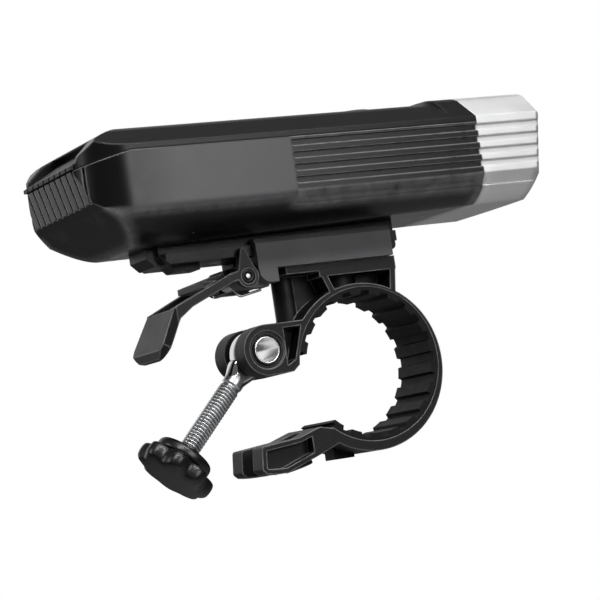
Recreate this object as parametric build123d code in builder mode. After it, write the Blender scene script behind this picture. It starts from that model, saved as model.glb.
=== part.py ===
from build123d import *
import math
import os

os.makedirs("parts", exist_ok=True)

# Bike headlight on a quick-release handlebar clamp, in millimetres.
# The origin is the centre of the handlebar, +X is the way the beam points, +Z is up,
# and the bar runs along Y. The lamp body stands above the bar on a slide rail.

# Shared values
overrun = 40.0
run_fit = 0.05
gap = 0.3
slide_gap = 0.15
skin = 0.1

# Lamp body
side_half = 23.7
body_front_x = 28.6
body_rear_x = -67.6
case_wall = 1.8
bottom_rear_z = 31.3
bottom_front_z = 32.9
bottom_half = 10.5
edge_z = 37.7
flank_y = 18.6
flank_z = 34.0
shoulder_z = 52.3
crown_y = 16.5
crown_z = 56.3
crown_mid_y = 13.7
crown_mid_z = 57.3
top_half = 10.5
top_edge_z = 57.7
top_z = 58.1
corner_radius = 11.0
chin_x = -55.0
chin_z = 40.9
wall_foot_x = -65.6
wall_top_z = 48.8
brow_x = -66.5
brow_z = 51.6
brow_mid_x = -63.0
brow_mid_z = 54.8
brow_front_x = -52.0
parting_z = 51.0
parting_rear_z = 48.7
parting_bend_x = -57.0
collar_rise = 0.9
collar_x = 22.0
collar_ramp = 0.8

# Side ribs and rear ribs
rib_pitch = 2.8
rib_top_z = 49.7
rib_groove = 1.4
rib_depth = 0.9
rib_start_x = -19.0
rib_count = 4
rear_rib_pitch = 3.6
rear_rib_groove = 0.8
rear_rib_depth = 0.7
rear_rib_count = 11
flank_step = 1.4
flank_step_depth = 2.2

# Front bezel and optics
bezel_length = 19.2
rake_run = 4.2
bezel_sweep = 1.0
bezel_edge = 0.8
optic_half_width = 19.6
optic_low_z = 36.6
optic_high_z = 55.2
optic_radius = 4.5
bezel_floor_x = 32.6
lens_thickness = 2.0
lens_recess = 1.6
gasket_thickness = 0.8
gasket_width = 1.2
face_thickness = 1.0
bowl_pitch = 18.4
bowl_radius = 8.4
bowl_throat_radius = 3.0
bowl_wall = 0.8
bowl_length = 8.6
bowl_bend_share = 0.42
bowl_bend_radius = 6.2
led_radius = 2.4
led_base = 0.5
led_height = 1.2
led_lens_radius = 1.6
board_thickness = 1.6
optic_z = 45.9

# Battery, boards and holder
cell_length = 65.0
cell_side_gap = 3.4
cell_pitch = side_half - case_wall - cell_side_gap
cell_radius = cell_pitch / 2 - run_fit
cell_rear_x = -52.6
cell_z = 44.3
holder_end = 1.2
holder_top_z = 41.0
driver_x = 14.6
driver_half_width = 17.0
driver_height = 11.0
coil_y = 7.0
coil_radius = 3.2
coil_height = 3.0
chip_side = 5.0
display_board_length = 40.0
display_board_width = 10.0
display_board_x = -6.5
display_board_z = 52.6
post_radius = 1.2
post_inset = 1.6
post_x = -12.3
post_span = 24.0
display_board_thickness = 1.0
display_x = -11.0
window_length = 17.0
window_width = 8.0
window_thickness = 1.2
window_ledge = 0.8
button_x = 9.0
button_radius = 5.2
button_flange = 0.8
button_rim = 1.0
button_proud = 0.9
button_edge = 0.4
switch_side = 4.6
switch_height = 0.9

# Charging socket and port cover
port_half = 15.4
port_front_x = -59.4
port_front_z = 54.4
port_rear_z = 50.0
flap_thickness = 1.3
flap_lip = 0.5
flap_lip_z = 48.9
flap_rib_count = 8
flap_oval_length = 22.0
flap_oval_width = 5.4
flap_oval_groove = 0.6
flap_oval_depth = 0.35
flap_gap = 0.2
flap_clear = 0.1
socket_width = 9.0
socket_height = 3.3
socket_depth = 7.2
socket_wall = 0.5
socket_drop = 0.9
port_wall = 1.5

# Screws of the case and the bezel
case_screw_radius = 1.0
case_screw_head = 1.8
case_screw_head_height = 1.1
case_screw_length = 9.0
bezel_screw_low = (16.0, 40.0)
bezel_screw_high = (12.5, 53.2)
bezel_boss = 2.2
bezel_boss_depth = 4.8
cover_screw_x = -62.5
cover_screw_y = 11.5
cover_screw_seat_z = 48.9
cover_boss = 2.6
cover_boss_z = 47.4
post_foot_z = 36.0
wire_hole_width = 9.0
wire_hole_height = 5.0

# Rail shoe
rail_half = 7.9
rail_low_z = 27.4
rail_high_z = 29.8
rail_rear_x = -47.0
rail_corner = 1.2
rail_front_x = 12.0
rail_bevel = 1.9
neck_half = 6.6
stop_half = 5.0
stop_reach = 2.3
bump_half = 3.0
bump_rear_x = -41.7
bump_front_x = -35.9
bump_z = 26.0
bump_slope = 1.4
tab_half = 5.5
tab_x = 11.6
tab_length = 2.4
tab_z = 25.7
tab_radius = 1.1
shoe_screw_x = -13.0
shoe_screw_pitch = 17.0
shoe_screw_count = 3
shoe_boss = 2.4
shoe_boss_z = 37.0
shoe_screw_radius = 1.0
shoe_screw_head = 1.9
shoe_screw_head_height = 1.1
shoe_screw_length = 8.0

# Mount base
base_rear_x = -24.8
base_front_x = 9.4
base_half = 9.9
base_low_z = 24.0
base_side_z = 29.7
base_high_z = 31.0
base_floor_z = 27.2
lip_half = 6.9
bump_groove_half = 3.4
bump_groove_z = 25.7
skirt_z = 20.8
skirt_front_x = -20.2
skirt_radius = 3.0
base_bevel = 1.3
lug_outer = 7.6
lug_inner = 3.6
lug_radius = 2.6
ear_relief = 2.9

# Release lever
pivot_x = -27.5
pivot_z = 22.7
ear_inner = 8.0
ear_outer = 9.7
ear_radius = 2.6
ear_apex = (-28.0, 28.5)
ear_apex_radius = 0.7
pin_radius = 1.6
pin_bore = 1.1
arm_thickness = 2.0
arm_inner = 6.2
arm_start = (-28.3, 23.4)
arm_knee = (-31.6, 22.7)
arm_foot = (-42.2, 18.1)
arm_end = (-45.6, 16.6)
pad_heel = (-45.8, 17.5)
pad_back = (-48.3, 13.0)
pad_low = (-50.6, 8.8)
pad_tip = (-50.2, 6.9)
pad_chin = (-49.4, 6.5)
pad_front = (-46.9, 10.6)
pad_throat = (-44.3, 15.2)
pad_neck = (-41.3, 17.4)
pad_corner = 5.0
pad_half = 8.9
pad_waist_half = 7.6
pad_waist_x = -45.0
shoulder_x = -32.0
block_half = 4.6
block_rear = (-37.9, 22.85)
block_front = (-31.1, 24.6)
web_z = 21.4
web_thickness = 1.4
hub_half = 3.2
hub_step = 0.4
hub_top_z = 25.3
tooth_rear_x = -28.1
tooth_front_x = -26.3
tooth_z = 25.6
tooth_bevel = 0.6
spring_wire = 0.3
spring_coil = 2.05
spring_clear = 0.3
spring_turns = 5
spring_pitch = 1.15
spring_bend = 0.6
spring_foot_z = 18.9
spring_leg_tip = (-21.9, 19.9)
spring_tail_x = -31.0
spring_start_angle = math.radians(-146)
spring_end_angle = math.radians(-80)

# Swivel
swivel_x = -1.0
swivel_shaft = 1.5
swivel_head = 2.9
swivel_head_height = 1.35
swivel_top_z = 25.65
nut_across = 5.5
nut_height = 2.1
nut_floor = 1.9

# Handlebar clamp
bar_radius = 15.9
clamp_half = 8.3
tooth_height = 0.9
liner_thickness = 0.8
band_wall = 1.6
band_shift_x = -0.5
band_shift_z = -0.7
liner_from = 165.0
liner_to = -131.0
liner_tooth_count = 18
tooth_first_angle = 161.5
tooth_pitch_angle = 17.06
tooth_root_share = 1.25
liner_tooth_share = 0.52
web_half = 2.0
plate_low_z = 22.2
plate_top_z = base_low_z - run_fit
plate_front_x = 10.4
plate_rear_x = -19.4
plate_thick_z = 20.9
plate_step_x = -9.3
plate_rear_radius = 18.4
strut_top_x = -8.5
strut_foot = (-6.2, 16.0)
strut_width = 1.4
front_strut_top_x = 9.7
front_strut_foot = (8.7, 15.6)
web_edge_x = -15.0
web_rib_radius = 2.6
boss_radius = 4.4
clevis_x = -24.9
clevis_z = 5.9
clevis_radius = 5.75
ear_recess = 0.5
ear_recess_radius = 4.3
wall_width = 1.15
clevis_foot = (-17.2, 2.0)
arm_lip_z = 0.4
arm_pocket = [(-20.3, 10.4), (-15.9, 10.5), (-18.3, 3.1), (-20.4, 1.9)]
arm_web_half = 3.8
arm_top_x = -12.5
slot_half = 3.0
slot_clearance = 5.5
barrel_radius = 3.55
barrel_bore = 3.05

plug_rear_x = -9.5
plug_front_x = -4.5
plug_low_z = -20.5
plug_half = 2.5

# Fork at the clamp's free end
fork_outline = [
    (-11.0, -13.6),
    (-15.0, -12.7),
    (-20.2, -14.4),
    (-29.8, -15.4),
    (-30.4, -20.6),
    (-28.4, -22.4),
    (-26.2, -22.6),
    (-16.0, -19.0),
    (-10.6, -17.0),
]
fork_corner = 0.8
fork_reach = 27.8
fork_slot_x = -19.5
fork_pocket_x = -17.2
pocket_depth = 3.0
fork_cut_z = -11.0
closed_angle = 282.2
seat_radius = 4.6
seat_start = 24.0

# Clamp bolt and knob, along the bolt's own axis from the clevis
bolt_angle = 225.8
bolt_radius = 2.42
bolt_end = 33.6
neck_start = 3.6
neck_end = 8.6
bolt_neck_half = 3.6
eye_radius = 5.2
eye_half = 2.4
collar_start = 28.1
collar_radius = 6.75
collar_height = 2.6
collar_edge = 0.5
seam = 0.35
seam_radius = 5.6
knob_radius = 9.2
knob_height = 3.0
dome_height = 1.6
dome_radius = 6.4
lobe_count = 8
lobe_cut_radius = 2.6
lobe_depth = 1.0
insert_radius = 3.6
insert_height = 2.7


def case_section(rise, inset):
    """The lamp's outline across its length, its crown raised by rise, drawn in by inset."""
    with BuildSketch() as section:
        with BuildLine():
            Line((-bottom_half, bottom_rear_z), (bottom_half, bottom_rear_z))
            ThreePointArc(
                (bottom_half, bottom_rear_z), (flank_y, flank_z), (side_half, edge_z)
            )
            Line((side_half, edge_z), (side_half, shoulder_z))
            Line((side_half, shoulder_z), (crown_y, crown_z + rise))
            ThreePointArc(
                (crown_y, crown_z + rise),
                (crown_mid_y, crown_mid_z + rise),
                (top_half, top_edge_z + rise),
            )
            ThreePointArc(
                (top_half, top_edge_z + rise), (0, top_z + rise), (-top_half, top_edge_z + rise)
            )
            ThreePointArc(
                (-top_half, top_edge_z + rise),
                (-crown_mid_y, crown_mid_z + rise),
                (-crown_y, crown_z + rise),
            )
            Line((-crown_y, crown_z + rise), (-side_half, shoulder_z))
            Line((-side_half, shoulder_z), (-side_half, edge_z))
            ThreePointArc(
                (-side_half, edge_z), (-flank_y, flank_z), (-bottom_half, bottom_rear_z)
            )
        make_face()
        if inset:
            offset(amount=-inset, mode=Mode.REPLACE)
    return section.sketch


def case_side(inset):
    """The lamp's side view: raked rear wall, sloped chin and rounded brow."""
    with BuildSketch() as side:
        with BuildLine():
            Polyline(
                (body_front_x, top_z),
                (body_front_x, bottom_front_z),
                (chin_x, bottom_rear_z),
                (wall_foot_x, chin_z),
                (body_rear_x, wall_top_z),
                (brow_x, brow_z),
                (brow_mid_x, brow_mid_z),
            )
            ThreePointArc(
                (brow_mid_x, brow_mid_z),
                ((brow_mid_x + brow_front_x) / 2, (brow_mid_z + 2 * top_z) / 3),
                (brow_front_x, top_z),
            )
            Line((brow_front_x, top_z), (body_front_x, top_z))
        make_face()
        if inset:
            offset(amount=-inset, mode=Mode.REPLACE)
    return side.sketch


def case_plan(inset):
    """The lamp's plan, with rounded rear corners."""
    with BuildSketch() as plan:
        with BuildLine():
            Line((body_front_x, -side_half), (body_front_x, side_half))
            Line((body_front_x, side_half), (body_rear_x + corner_radius, side_half))
            RadiusArc(
                (body_rear_x + corner_radius, side_half),
                (body_rear_x, side_half - corner_radius),
                -corner_radius,
            )
            Line(
                (body_rear_x, side_half - corner_radius),
                (body_rear_x, corner_radius - side_half),
            )
            RadiusArc(
                (body_rear_x, corner_radius - side_half),
                (body_rear_x + corner_radius, -side_half),
                -corner_radius,
            )
            Line((body_rear_x + corner_radius, -side_half), (body_front_x, -side_half))
        make_face()
        if inset:
            offset(amount=-inset, mode=Mode.REPLACE)
    return plan.sketch


def case_solid(inset):
    """The lamp's form drawn in by inset: its section, side view and plan crossed."""
    with BuildPart() as form:
        with BuildSketch(Plane.YZ.offset(body_front_x)):
            add(case_section(0, inset))
        extrude(amount=body_rear_x - body_front_x - overrun)
        with BuildSketch(Plane.XZ):
            add(case_side(inset))
        extrude(amount=side_half + overrun, both=True, mode=Mode.INTERSECT)
        with BuildSketch(Plane.XY):
            add(case_plan(inset))
        extrude(amount=top_z + overrun, mode=Mode.INTERSECT)
    return form.part


def ribbon(points, width):
    """The outline of a bent strip of this width along the points."""
    near = []
    far = []
    for place, (x, z) in enumerate(points):
        before = points[max(place - 1, 0)]
        after = points[min(place + 1, len(points) - 1)]
        into = math.atan2(z - before[1], x - before[0])
        onward = math.atan2(after[1] - z, after[0] - x)
        if place == 0:
            into = onward
        if place == len(points) - 1:
            onward = into
        across = (into + onward) / 2 + math.pi / 2
        half = width / 2 / math.cos((onward - into) / 2)
        near.append((x + half * math.cos(across), z + half * math.sin(across)))
        far.append((x - half * math.cos(across), z - half * math.sin(across)))
    return near + far[::-1]


def side_slots(length):
    """The slots between the side ribs, cut from the side faces of a piece of this length."""
    with BuildPart() as slots:
        for side in (-side_half, side_half):
            with BuildSketch(Plane.XZ.offset(side)):
                with Locations(
                    *[
                        (rib_start_x + length / 2, rib_top_z - rib_pitch * row)
                        for row in range(rib_count)
                    ]
                ):
                    SlotOverall(length, rib_groove)
            extrude(amount=rib_depth, both=True)
    return slots.part


def below_parting(lift):
    """Everything under the joint line of the two case halves, raised by lift."""
    with BuildPart() as region:
        with BuildSketch(Plane.XZ):
            with BuildLine():
                Polyline(
                    (body_front_x + overrun, parting_z + lift),
                    (parting_bend_x, parting_z + lift),
                    (body_rear_x, parting_rear_z + lift),
                    (body_rear_x - overrun, parting_rear_z + lift),
                    (body_rear_x - overrun, -overrun),
                    (body_front_x + overrun, -overrun),
                    close=True,
                )
            make_face()
        extrude(amount=side_half + overrun, both=True)
    return region.part


def screws(places, direction, radius, length, head_radius, head_height):
    """Round-head screws whose heads start at the places and whose shanks run on."""
    with BuildPart() as group:
        for place in places:
            with BuildSketch(Plane(origin=place, z_dir=direction)):
                Circle(head_radius)
            extrude(amount=head_height)
            with BuildSketch(Plane(origin=place, z_dir=direction)):
                Circle(radius)
            extrude(amount=length)
    return group.part


def flank_wedges():
    """The slanted cut along the lower edge of both ribbed sides."""
    with BuildPart() as wedges:
        with BuildSketch(Plane.YZ.offset(rib_start_x)):
            for side in (-1, 1):
                with BuildLine():
                    Polyline(
                        (side * (side_half + overrun), edge_z - flank_step),
                        (side * (side_half + overrun), edge_z + flank_step),
                        (side * side_half, edge_z + flank_step),
                        (side * (side_half - flank_step_depth), edge_z - flank_step),
                        close=True,
                    )
                make_face()
        extrude(amount=slot_length)
    return wedges.part


def raked_slab(depth, thickness):
    """A slab parallel to the bezel's raked front, this depth behind it."""
    with BuildPart() as slab:
        with BuildSketch(Plane.XZ):
            with BuildLine():
                Polyline(
                    (rake_foot_x - depth, 0),
                    (rake_foot_x - depth - thickness, 0),
                    (bezel_front_x - depth - thickness, bezel_top_z),
                    (bezel_front_x - depth, bezel_top_z),
                    close=True,
                )
            make_face()
        extrude(amount=side_half, both=True)
    return slab.part


def optic_block(inset, length):
    """The rounded block that fills the optics' pocket, drawn in by inset."""
    with BuildPart() as block:
        with BuildSketch(Plane.YZ.offset(bezel_floor_x)):
            with Locations((0, (optic_low_z + optic_high_z) / 2)):
                RectangleRounded(
                    2 * (optic_half_width - inset),
                    optic_high_z - optic_low_z - 2 * inset,
                    optic_radius - inset,
                )
        extrude(amount=length)
    return block.part


def optic_plate(inset, depth, thickness):
    """A plate of the pocket's outline, parallel to the bezel's front."""
    with BuildPart() as plate:
        add(optic_block(inset, overrun))
        add(raked_slab(depth, thickness), mode=Mode.INTERSECT)
    return plate.part


def bowls(wall):
    """Two round bowls that open forwards, made thicker by wall."""
    with BuildPart() as pair:
        for side in (-1, 1):
            centre = (bowl_x, side * bowl_pitch / 2, optic_z)
            with BuildSketch(Plane(origin=centre, x_dir=(1, 0, 0), z_dir=(0, -1, 0))):
                with BuildLine():
                    Polyline(
                        (0, 0),
                        (0, bowl_throat_radius + wall),
                        (bowl_length * bowl_bend_share, bowl_bend_radius + wall),
                        (bowl_length, bowl_radius + wall),
                        (bowl_length, 0),
                        close=True,
                    )
                make_face()
            revolve(axis=Axis(centre, (1, 0, 0)))
    return pair.part


outer_form = case_solid(0)
inner_form = case_solid(case_wall)
rib_form = case_solid(rear_rib_depth)
lower_region = below_parting(0)
slot_length = body_front_x + overrun - rib_start_x
rib_slots = side_slots(slot_length)
wedge_cuts = flank_wedges()

bezel_front_x = body_front_x + bezel_length
bezel_top_z = top_z + collar_rise
rake_foot_x = bezel_front_x - rake_run * bezel_top_z / (bezel_top_z - bottom_front_z)
bowl_x = bezel_floor_x + board_thickness
face_depth = lens_recess + lens_thickness + gasket_thickness

slope_angle = math.atan2(port_front_z - port_rear_z, port_front_x - body_rear_x)
slope_length = math.hypot(port_front_x - body_rear_x, port_front_z - port_rear_z)
slope_plane = Plane(
    origin=(body_rear_x, 0, port_rear_z),
    x_dir=(math.cos(slope_angle), 0, math.sin(slope_angle)),
    z_dir=(-math.sin(slope_angle), 0, math.cos(slope_angle)),
)

bezel_screw_places = [
    (bezel_floor_x, side * y, z)
    for side in (-1, 1)
    for y, z in (bezel_screw_low, bezel_screw_high)
]
cover_screw_places = [
    (cover_screw_x, side * cover_screw_y, cover_screw_seat_z + case_screw_head_height)
    for side in (-1, 1)
]
shoe_screw_places = [
    (shoe_screw_x + shoe_screw_pitch * (row - (shoe_screw_count - 1) / 2), 0, rail_low_z)
    for row in range(shoe_screw_count)
]

# Case screws: four run back from the bezel, two run down under the port cover
with BuildPart() as case_screws:
    add(
        screws(
            bezel_screw_places,
            (-1, 0, 0),
            case_screw_radius,
            case_screw_length,
            case_screw_head,
            case_screw_head_height,
        )
    )
    add(
        screws(
            cover_screw_places,
            (0, 0, -1),
            case_screw_radius,
            case_screw_length,
            case_screw_head,
            case_screw_head_height,
        )
    )
case_screws.part.label = "case_screws"
export_step(case_screws.part, "parts/case_screws.step")

# Screws that hold the rail shoe under the lamp, in a row along its middle
with BuildPart() as shoe_screws:
    add(
        screws(
            shoe_screw_places,
            (0, 0, 1),
            shoe_screw_radius,
            shoe_screw_length,
            shoe_screw_head,
            shoe_screw_head_height,
        )
    )
shoe_screws.part.label = "shoe_screws"
export_step(shoe_screws.part, "parts/shoe_screws.step")

# Grooves of the ribbed rear wall, as deep as the ribs stand
with BuildPart() as rear_grooves:
    with BuildSketch(Plane.YZ.offset(body_rear_x + corner_radius)):
        with Locations((0, (chin_z + wall_top_z) / 2)):
            with GridLocations(rear_rib_pitch, 0, rear_rib_count, 1):
                Rectangle(rear_rib_groove, wall_top_z - chin_z)
    extrude(amount=-corner_radius - overrun)
    add(rib_form, mode=Mode.SUBTRACT)

# Lower housing: an open tray with side ribs, a side panel and a ribbed rear wall,
# and inside it the posts and bosses that take the screws
with BuildPart() as lower_housing:
    add(outer_form)
    add(inner_form, mode=Mode.SUBTRACT)
    add(lower_region, mode=Mode.INTERSECT)
    with BuildSketch(Plane.XY.offset(post_foot_z)):
        with Locations(*[(x, y) for x, y, z in cover_screw_places]):
            Circle(shoe_boss)
    extrude(amount=cover_boss_z - post_foot_z)
    with BuildSketch(Plane.XY.offset(bottom_front_z)):
        with Locations(*[(x, y) for x, y, z in shoe_screw_places]):
            Circle(shoe_boss)
    extrude(amount=shoe_boss_z - bottom_front_z)
    with BuildSketch(Plane.YZ.offset(body_front_x - case_wall - bezel_boss_depth)):
        with Locations(*[(side * bezel_screw_low[0], bezel_screw_low[1]) for side in (-1, 1)]):
            Circle(bezel_boss)
    extrude(amount=case_wall / 2 + bezel_boss_depth)
    add(outer_form, mode=Mode.INTERSECT)
    add(rib_slots, mode=Mode.SUBTRACT)
    add(wedge_cuts, mode=Mode.SUBTRACT)
    add(rear_grooves.part, mode=Mode.SUBTRACT)
    with BuildSketch(Plane.YZ.offset(body_front_x - case_wall)):
        with Locations((0, optic_z)):
            Rectangle(wire_hole_width, wire_hole_height)
    extrude(amount=case_wall, mode=Mode.SUBTRACT)
    add(case_screws.part, mode=Mode.SUBTRACT)
    add(shoe_screws.part, mode=Mode.SUBTRACT)
lower_housing.part.label = "lower_housing"
export_step(lower_housing.part, "parts/lower_housing.step")

# Raised collar of the cover, where it meets the bezel
with BuildPart() as front_collar:
    with BuildSketch(Plane.YZ.offset(collar_x)):
        add(case_section(0, 0))
    with BuildSketch(Plane.YZ.offset(collar_x + collar_ramp)):
        add(case_section(collar_rise, 0))
    loft(ruled=True)
    with BuildSketch(Plane.YZ.offset(collar_x + collar_ramp)):
        add(case_section(collar_rise, 0))
    extrude(amount=body_front_x - collar_x - collar_ramp)
    add(inner_form, mode=Mode.SUBTRACT)
    add(lower_region, mode=Mode.SUBTRACT)

# Floor and walls of the charging port's recess, with the bosses of the cover screws
with BuildPart() as port_bed:
    with BuildSketch(slope_plane.offset(-flap_thickness - port_wall)):
        with Locations((slope_length / 2, 0)):
            Rectangle(
                slope_length + 2 * (flap_gap + port_wall),
                2 * (port_half + flap_gap + port_wall),
            )
    extrude(amount=overrun)
    with BuildSketch(Plane.XY.offset(cover_boss_z)):
        with Locations(*[(x, y) for x, y, z in cover_screw_places]):
            Circle(cover_boss)
    extrude(amount=cover_screw_seat_z - cover_boss_z + port_wall)
    add(inner_form, mode=Mode.INTERSECT)

# Top cover: the upper shell, with a raised front collar, a display window, a button hole
# and the recess of the charging port on its sloped rear corner
with BuildPart() as top_cover:
    add(outer_form)
    add(inner_form, mode=Mode.SUBTRACT)
    add(lower_region, mode=Mode.SUBTRACT)
    add(port_bed.part)
    add(front_collar.part)
    with BuildSketch(Plane.XY.offset(display_board_z + display_board_thickness)):
        with Locations((post_x, 0)):
            with GridLocations(post_span, display_board_width - 2 * post_inset, 2, 2):
                Circle(post_radius)
    extrude(amount=top_z - case_wall / 2 - display_board_z - display_board_thickness)
    with BuildSketch(Plane.YZ.offset(body_front_x - case_wall - bezel_boss_depth)):
        with Locations(
            *[(side * bezel_screw_high[0], bezel_screw_high[1]) for side in (-1, 1)]
        ):
            Circle(bezel_boss)
    extrude(amount=case_wall / 2 + bezel_boss_depth)
    with BuildSketch(slope_plane.offset(-flap_thickness)):
        with Locations((slope_length + flap_gap - overrun / 2, 0)):
            Rectangle(overrun, 2 * (port_half + flap_gap))
    extrude(amount=overrun, mode=Mode.SUBTRACT)
    with BuildSketch(slope_plane):
        with Locations((slope_length / 2, 0)):
            Rectangle(socket_height, socket_width)
    extrude(amount=-overrun / 2, mode=Mode.SUBTRACT)
    with BuildSketch(Plane.XY.offset(cover_screw_seat_z)):
        with Locations(*[(x, y) for x, y, z in cover_screw_places]):
            Circle(case_screw_head)
    extrude(amount=overrun, mode=Mode.SUBTRACT)
    with BuildSketch(Plane.XY.offset(top_z - window_thickness)):
        with Locations((display_x, 0)):
            Rectangle(window_length, window_width)
    extrude(amount=overrun, mode=Mode.SUBTRACT)
    with BuildSketch(Plane.XY.offset(display_board_z + display_board_thickness)):
        with Locations((display_x, 0)):
            Rectangle(window_length - 2 * window_ledge, window_width - 2 * window_ledge)
        with Locations((button_x, 0)):
            Circle(button_radius + slide_gap)
    extrude(amount=overrun, mode=Mode.SUBTRACT)
    add(case_screws.part, mode=Mode.SUBTRACT)
top_cover.part.label = "top_cover"
export_step(top_cover.part, "parts/top_cover.step")

# Front bezel: the finned metal ring that carries the optics in a pocket
with BuildPart() as front_bezel:
    with BuildSketch(Plane.YZ.offset(body_front_x)):
        add(case_section(collar_rise, 0))
    extrude(amount=bezel_length)
    with BuildSketch(Plane.XY):
        with BuildLine():
            ThreePointArc(
                (rake_foot_x - bezel_sweep, -side_half),
                (rake_foot_x, 0),
                (rake_foot_x - bezel_sweep, side_half),
            )
            Polyline(
                (rake_foot_x - bezel_sweep, side_half),
                (rake_foot_x - overrun, side_half),
                (rake_foot_x - overrun, -side_half),
                (rake_foot_x - bezel_sweep, -side_half),
            )
        make_face()
    extrude(
        amount=bezel_top_z + overrun,
        dir=Vector(bezel_front_x - rake_foot_x, 0, bezel_top_z).normalized(),
        mode=Mode.INTERSECT,
    )
    with BuildSketch(Plane.XY.offset(bottom_front_z)):
        with Locations((body_front_x + bezel_length / 2, 0)):
            Rectangle(overrun, 2 * side_half + overrun)
    extrude(amount=-overrun, mode=Mode.SUBTRACT)
    chamfer(front_bezel.faces().sort_by(Axis.X)[-1].outer_wire().edges(), bezel_edge)
    add(rib_slots, mode=Mode.SUBTRACT)
    add(wedge_cuts, mode=Mode.SUBTRACT)
    add(optic_block(0, overrun), mode=Mode.SUBTRACT)
    with BuildSketch(Plane.YZ.offset(body_front_x)):
        with Locations((0, optic_z)):
            Rectangle(wire_hole_width, wire_hole_height)
    extrude(amount=bezel_floor_x - body_front_x, mode=Mode.SUBTRACT)
    add(case_screws.part, mode=Mode.SUBTRACT)
front_bezel.part.label = "front_bezel"
export_step(front_bezel.part, "parts/front_bezel.step")

# Clear window in front of the beam
with BuildPart() as front_lens:
    add(optic_plate(slide_gap, lens_recess, lens_thickness))
front_lens.part.label = "front_lens"
export_step(front_lens.part, "parts/front_lens.step")

# Rubber ring behind the window
with BuildPart() as lens_gasket:
    add(optic_plate(slide_gap, lens_recess + lens_thickness, gasket_thickness))
    add(optic_block(gasket_width, overrun), mode=Mode.SUBTRACT)
lens_gasket.part.label = "lens_gasket"
export_step(lens_gasket.part, "parts/lens_gasket.step")

# Two metallised bowls in one face plate
with BuildPart() as reflectors:
    add(bowls(bowl_wall))
    add(raked_slab(face_depth, overrun), mode=Mode.INTERSECT)
    add(optic_plate(slide_gap, face_depth, face_thickness))
    add(bowls(0), mode=Mode.SUBTRACT)
reflectors.part.label = "reflectors"
export_step(reflectors.part, "parts/reflectors.step")

# Metal-core board on the pocket's floor
with BuildPart() as led_board:
    add(optic_block(slide_gap, board_thickness))
led_board.part.label = "led_board"
export_step(led_board.part, "parts/led_board.step")

# Two light emitters, each a base with a raised lens
with BuildPart() as led_emitters:
    for radius, height in ((led_radius, led_base), (led_lens_radius, led_height)):
        with BuildSketch(Plane.YZ.offset(bowl_x)):
            with Locations((0, optic_z)):
                with GridLocations(bowl_pitch, 0, 2, 1):
                    Circle(radius)
        extrude(amount=height)
led_emitters.part.label = "led_emitters"
export_step(led_emitters.part, "parts/led_emitters.step")

# Two cylindrical cells side by side
with BuildPart() as battery_cells:
    with BuildSketch(Plane.YZ.offset(cell_rear_x)):
        with Locations((0, cell_z)):
            with GridLocations(cell_pitch, 0, 2, 1):
                Circle(cell_radius)
    extrude(amount=cell_length)
battery_cells.part.label = "battery_cells"
export_step(battery_cells.part, "parts/battery_cells.step")

# Moulded cradle under the cells, with end walls
with BuildPart() as cell_holder:
    with BuildSketch(Plane.XY.offset(bottom_rear_z)):
        with Locations((cell_rear_x + cell_length / 2, 0)):
            Rectangle(cell_length + 2 * (slide_gap + holder_end), 2 * side_half)
    extrude(amount=holder_top_z - bottom_rear_z)
    with BuildSketch(Plane.YZ.offset(cell_rear_x - slide_gap)):
        with Locations((0, cell_z)):
            with GridLocations(cell_pitch, 0, 2, 1):
                Circle(cell_radius + slide_gap)
    extrude(amount=cell_length + 2 * slide_gap, mode=Mode.SUBTRACT)
    with BuildSketch(Plane.XY.offset(bottom_rear_z)):
        with Locations(*[(x, y) for x, y, z in shoe_screw_places]):
            Circle(shoe_boss + slide_gap)
    extrude(amount=overrun, mode=Mode.SUBTRACT)
    add(case_solid(case_wall + slide_gap), mode=Mode.INTERSECT)
cell_holder.part.label = "cell_holder"
export_step(cell_holder.part, "parts/cell_holder.step")

# Driver board across the body in front of the cells, with its coil
with BuildPart() as driver_board:
    with BuildSketch(Plane.YZ.offset(driver_x)):
        with Locations((0, cell_z)):
            Rectangle(2 * driver_half_width, driver_height)
    extrude(amount=board_thickness)
    with BuildSketch(Plane.YZ.offset(driver_x + board_thickness)):
        with Locations((coil_y, cell_z)):
            Circle(coil_radius)
        with Locations((-coil_y, cell_z)):
            Rectangle(chip_side, chip_side)
    extrude(amount=coil_height)
driver_board.part.label = "driver_board"
export_step(driver_board.part, "parts/driver_board.step")

# Narrow board between the cells and the cover, under the window and the button
with BuildPart() as display_board:
    with BuildSketch(Plane.XY.offset(display_board_z)):
        with Locations((display_board_x, 0)):
            Rectangle(display_board_length, display_board_width)
    extrude(amount=display_board_thickness)
display_board.part.label = "display_board"
export_step(display_board.part, "parts/display_board.step")

# Smoked window of the battery gauge, flush with the cover
with BuildPart() as display_window:
    with BuildSketch(Plane.XY.offset(top_z - window_thickness)):
        with Locations((display_x, 0)):
            Rectangle(window_length, window_width)
    extrude(amount=overrun)
    add(outer_form, mode=Mode.INTERSECT)
display_window.part.label = "display_window"
export_step(display_window.part, "parts/display_window.step")

# Flat switch under the button
with BuildPart() as button_switch:
    with BuildSketch(Plane.XY.offset(display_board_z + display_board_thickness)):
        with Locations((button_x, 0)):
            RectangleRounded(switch_side, switch_side, button_flange)
    extrude(amount=switch_height)
button_switch.part.label = "button_switch"
export_step(button_switch.part, "parts/button_switch.step")

# Round button with a flange under the cover
with BuildPart() as power_button:
    with BuildSketch(Plane.XY.offset(top_z - case_wall - gap - button_flange)):
        with Locations((button_x, 0)):
            Circle(button_radius + button_rim)
    extrude(amount=button_flange)
    with BuildSketch(Plane.XY.offset(top_z - case_wall - gap)):
        with Locations((button_x, 0)):
            Circle(button_radius)
    extrude(amount=case_wall + gap + button_proud)
    chamfer(power_button.edges().group_by(Axis.Z)[-1], button_edge)
power_button.part.label = "power_button"
export_step(power_button.part, "parts/power_button.step")

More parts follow.
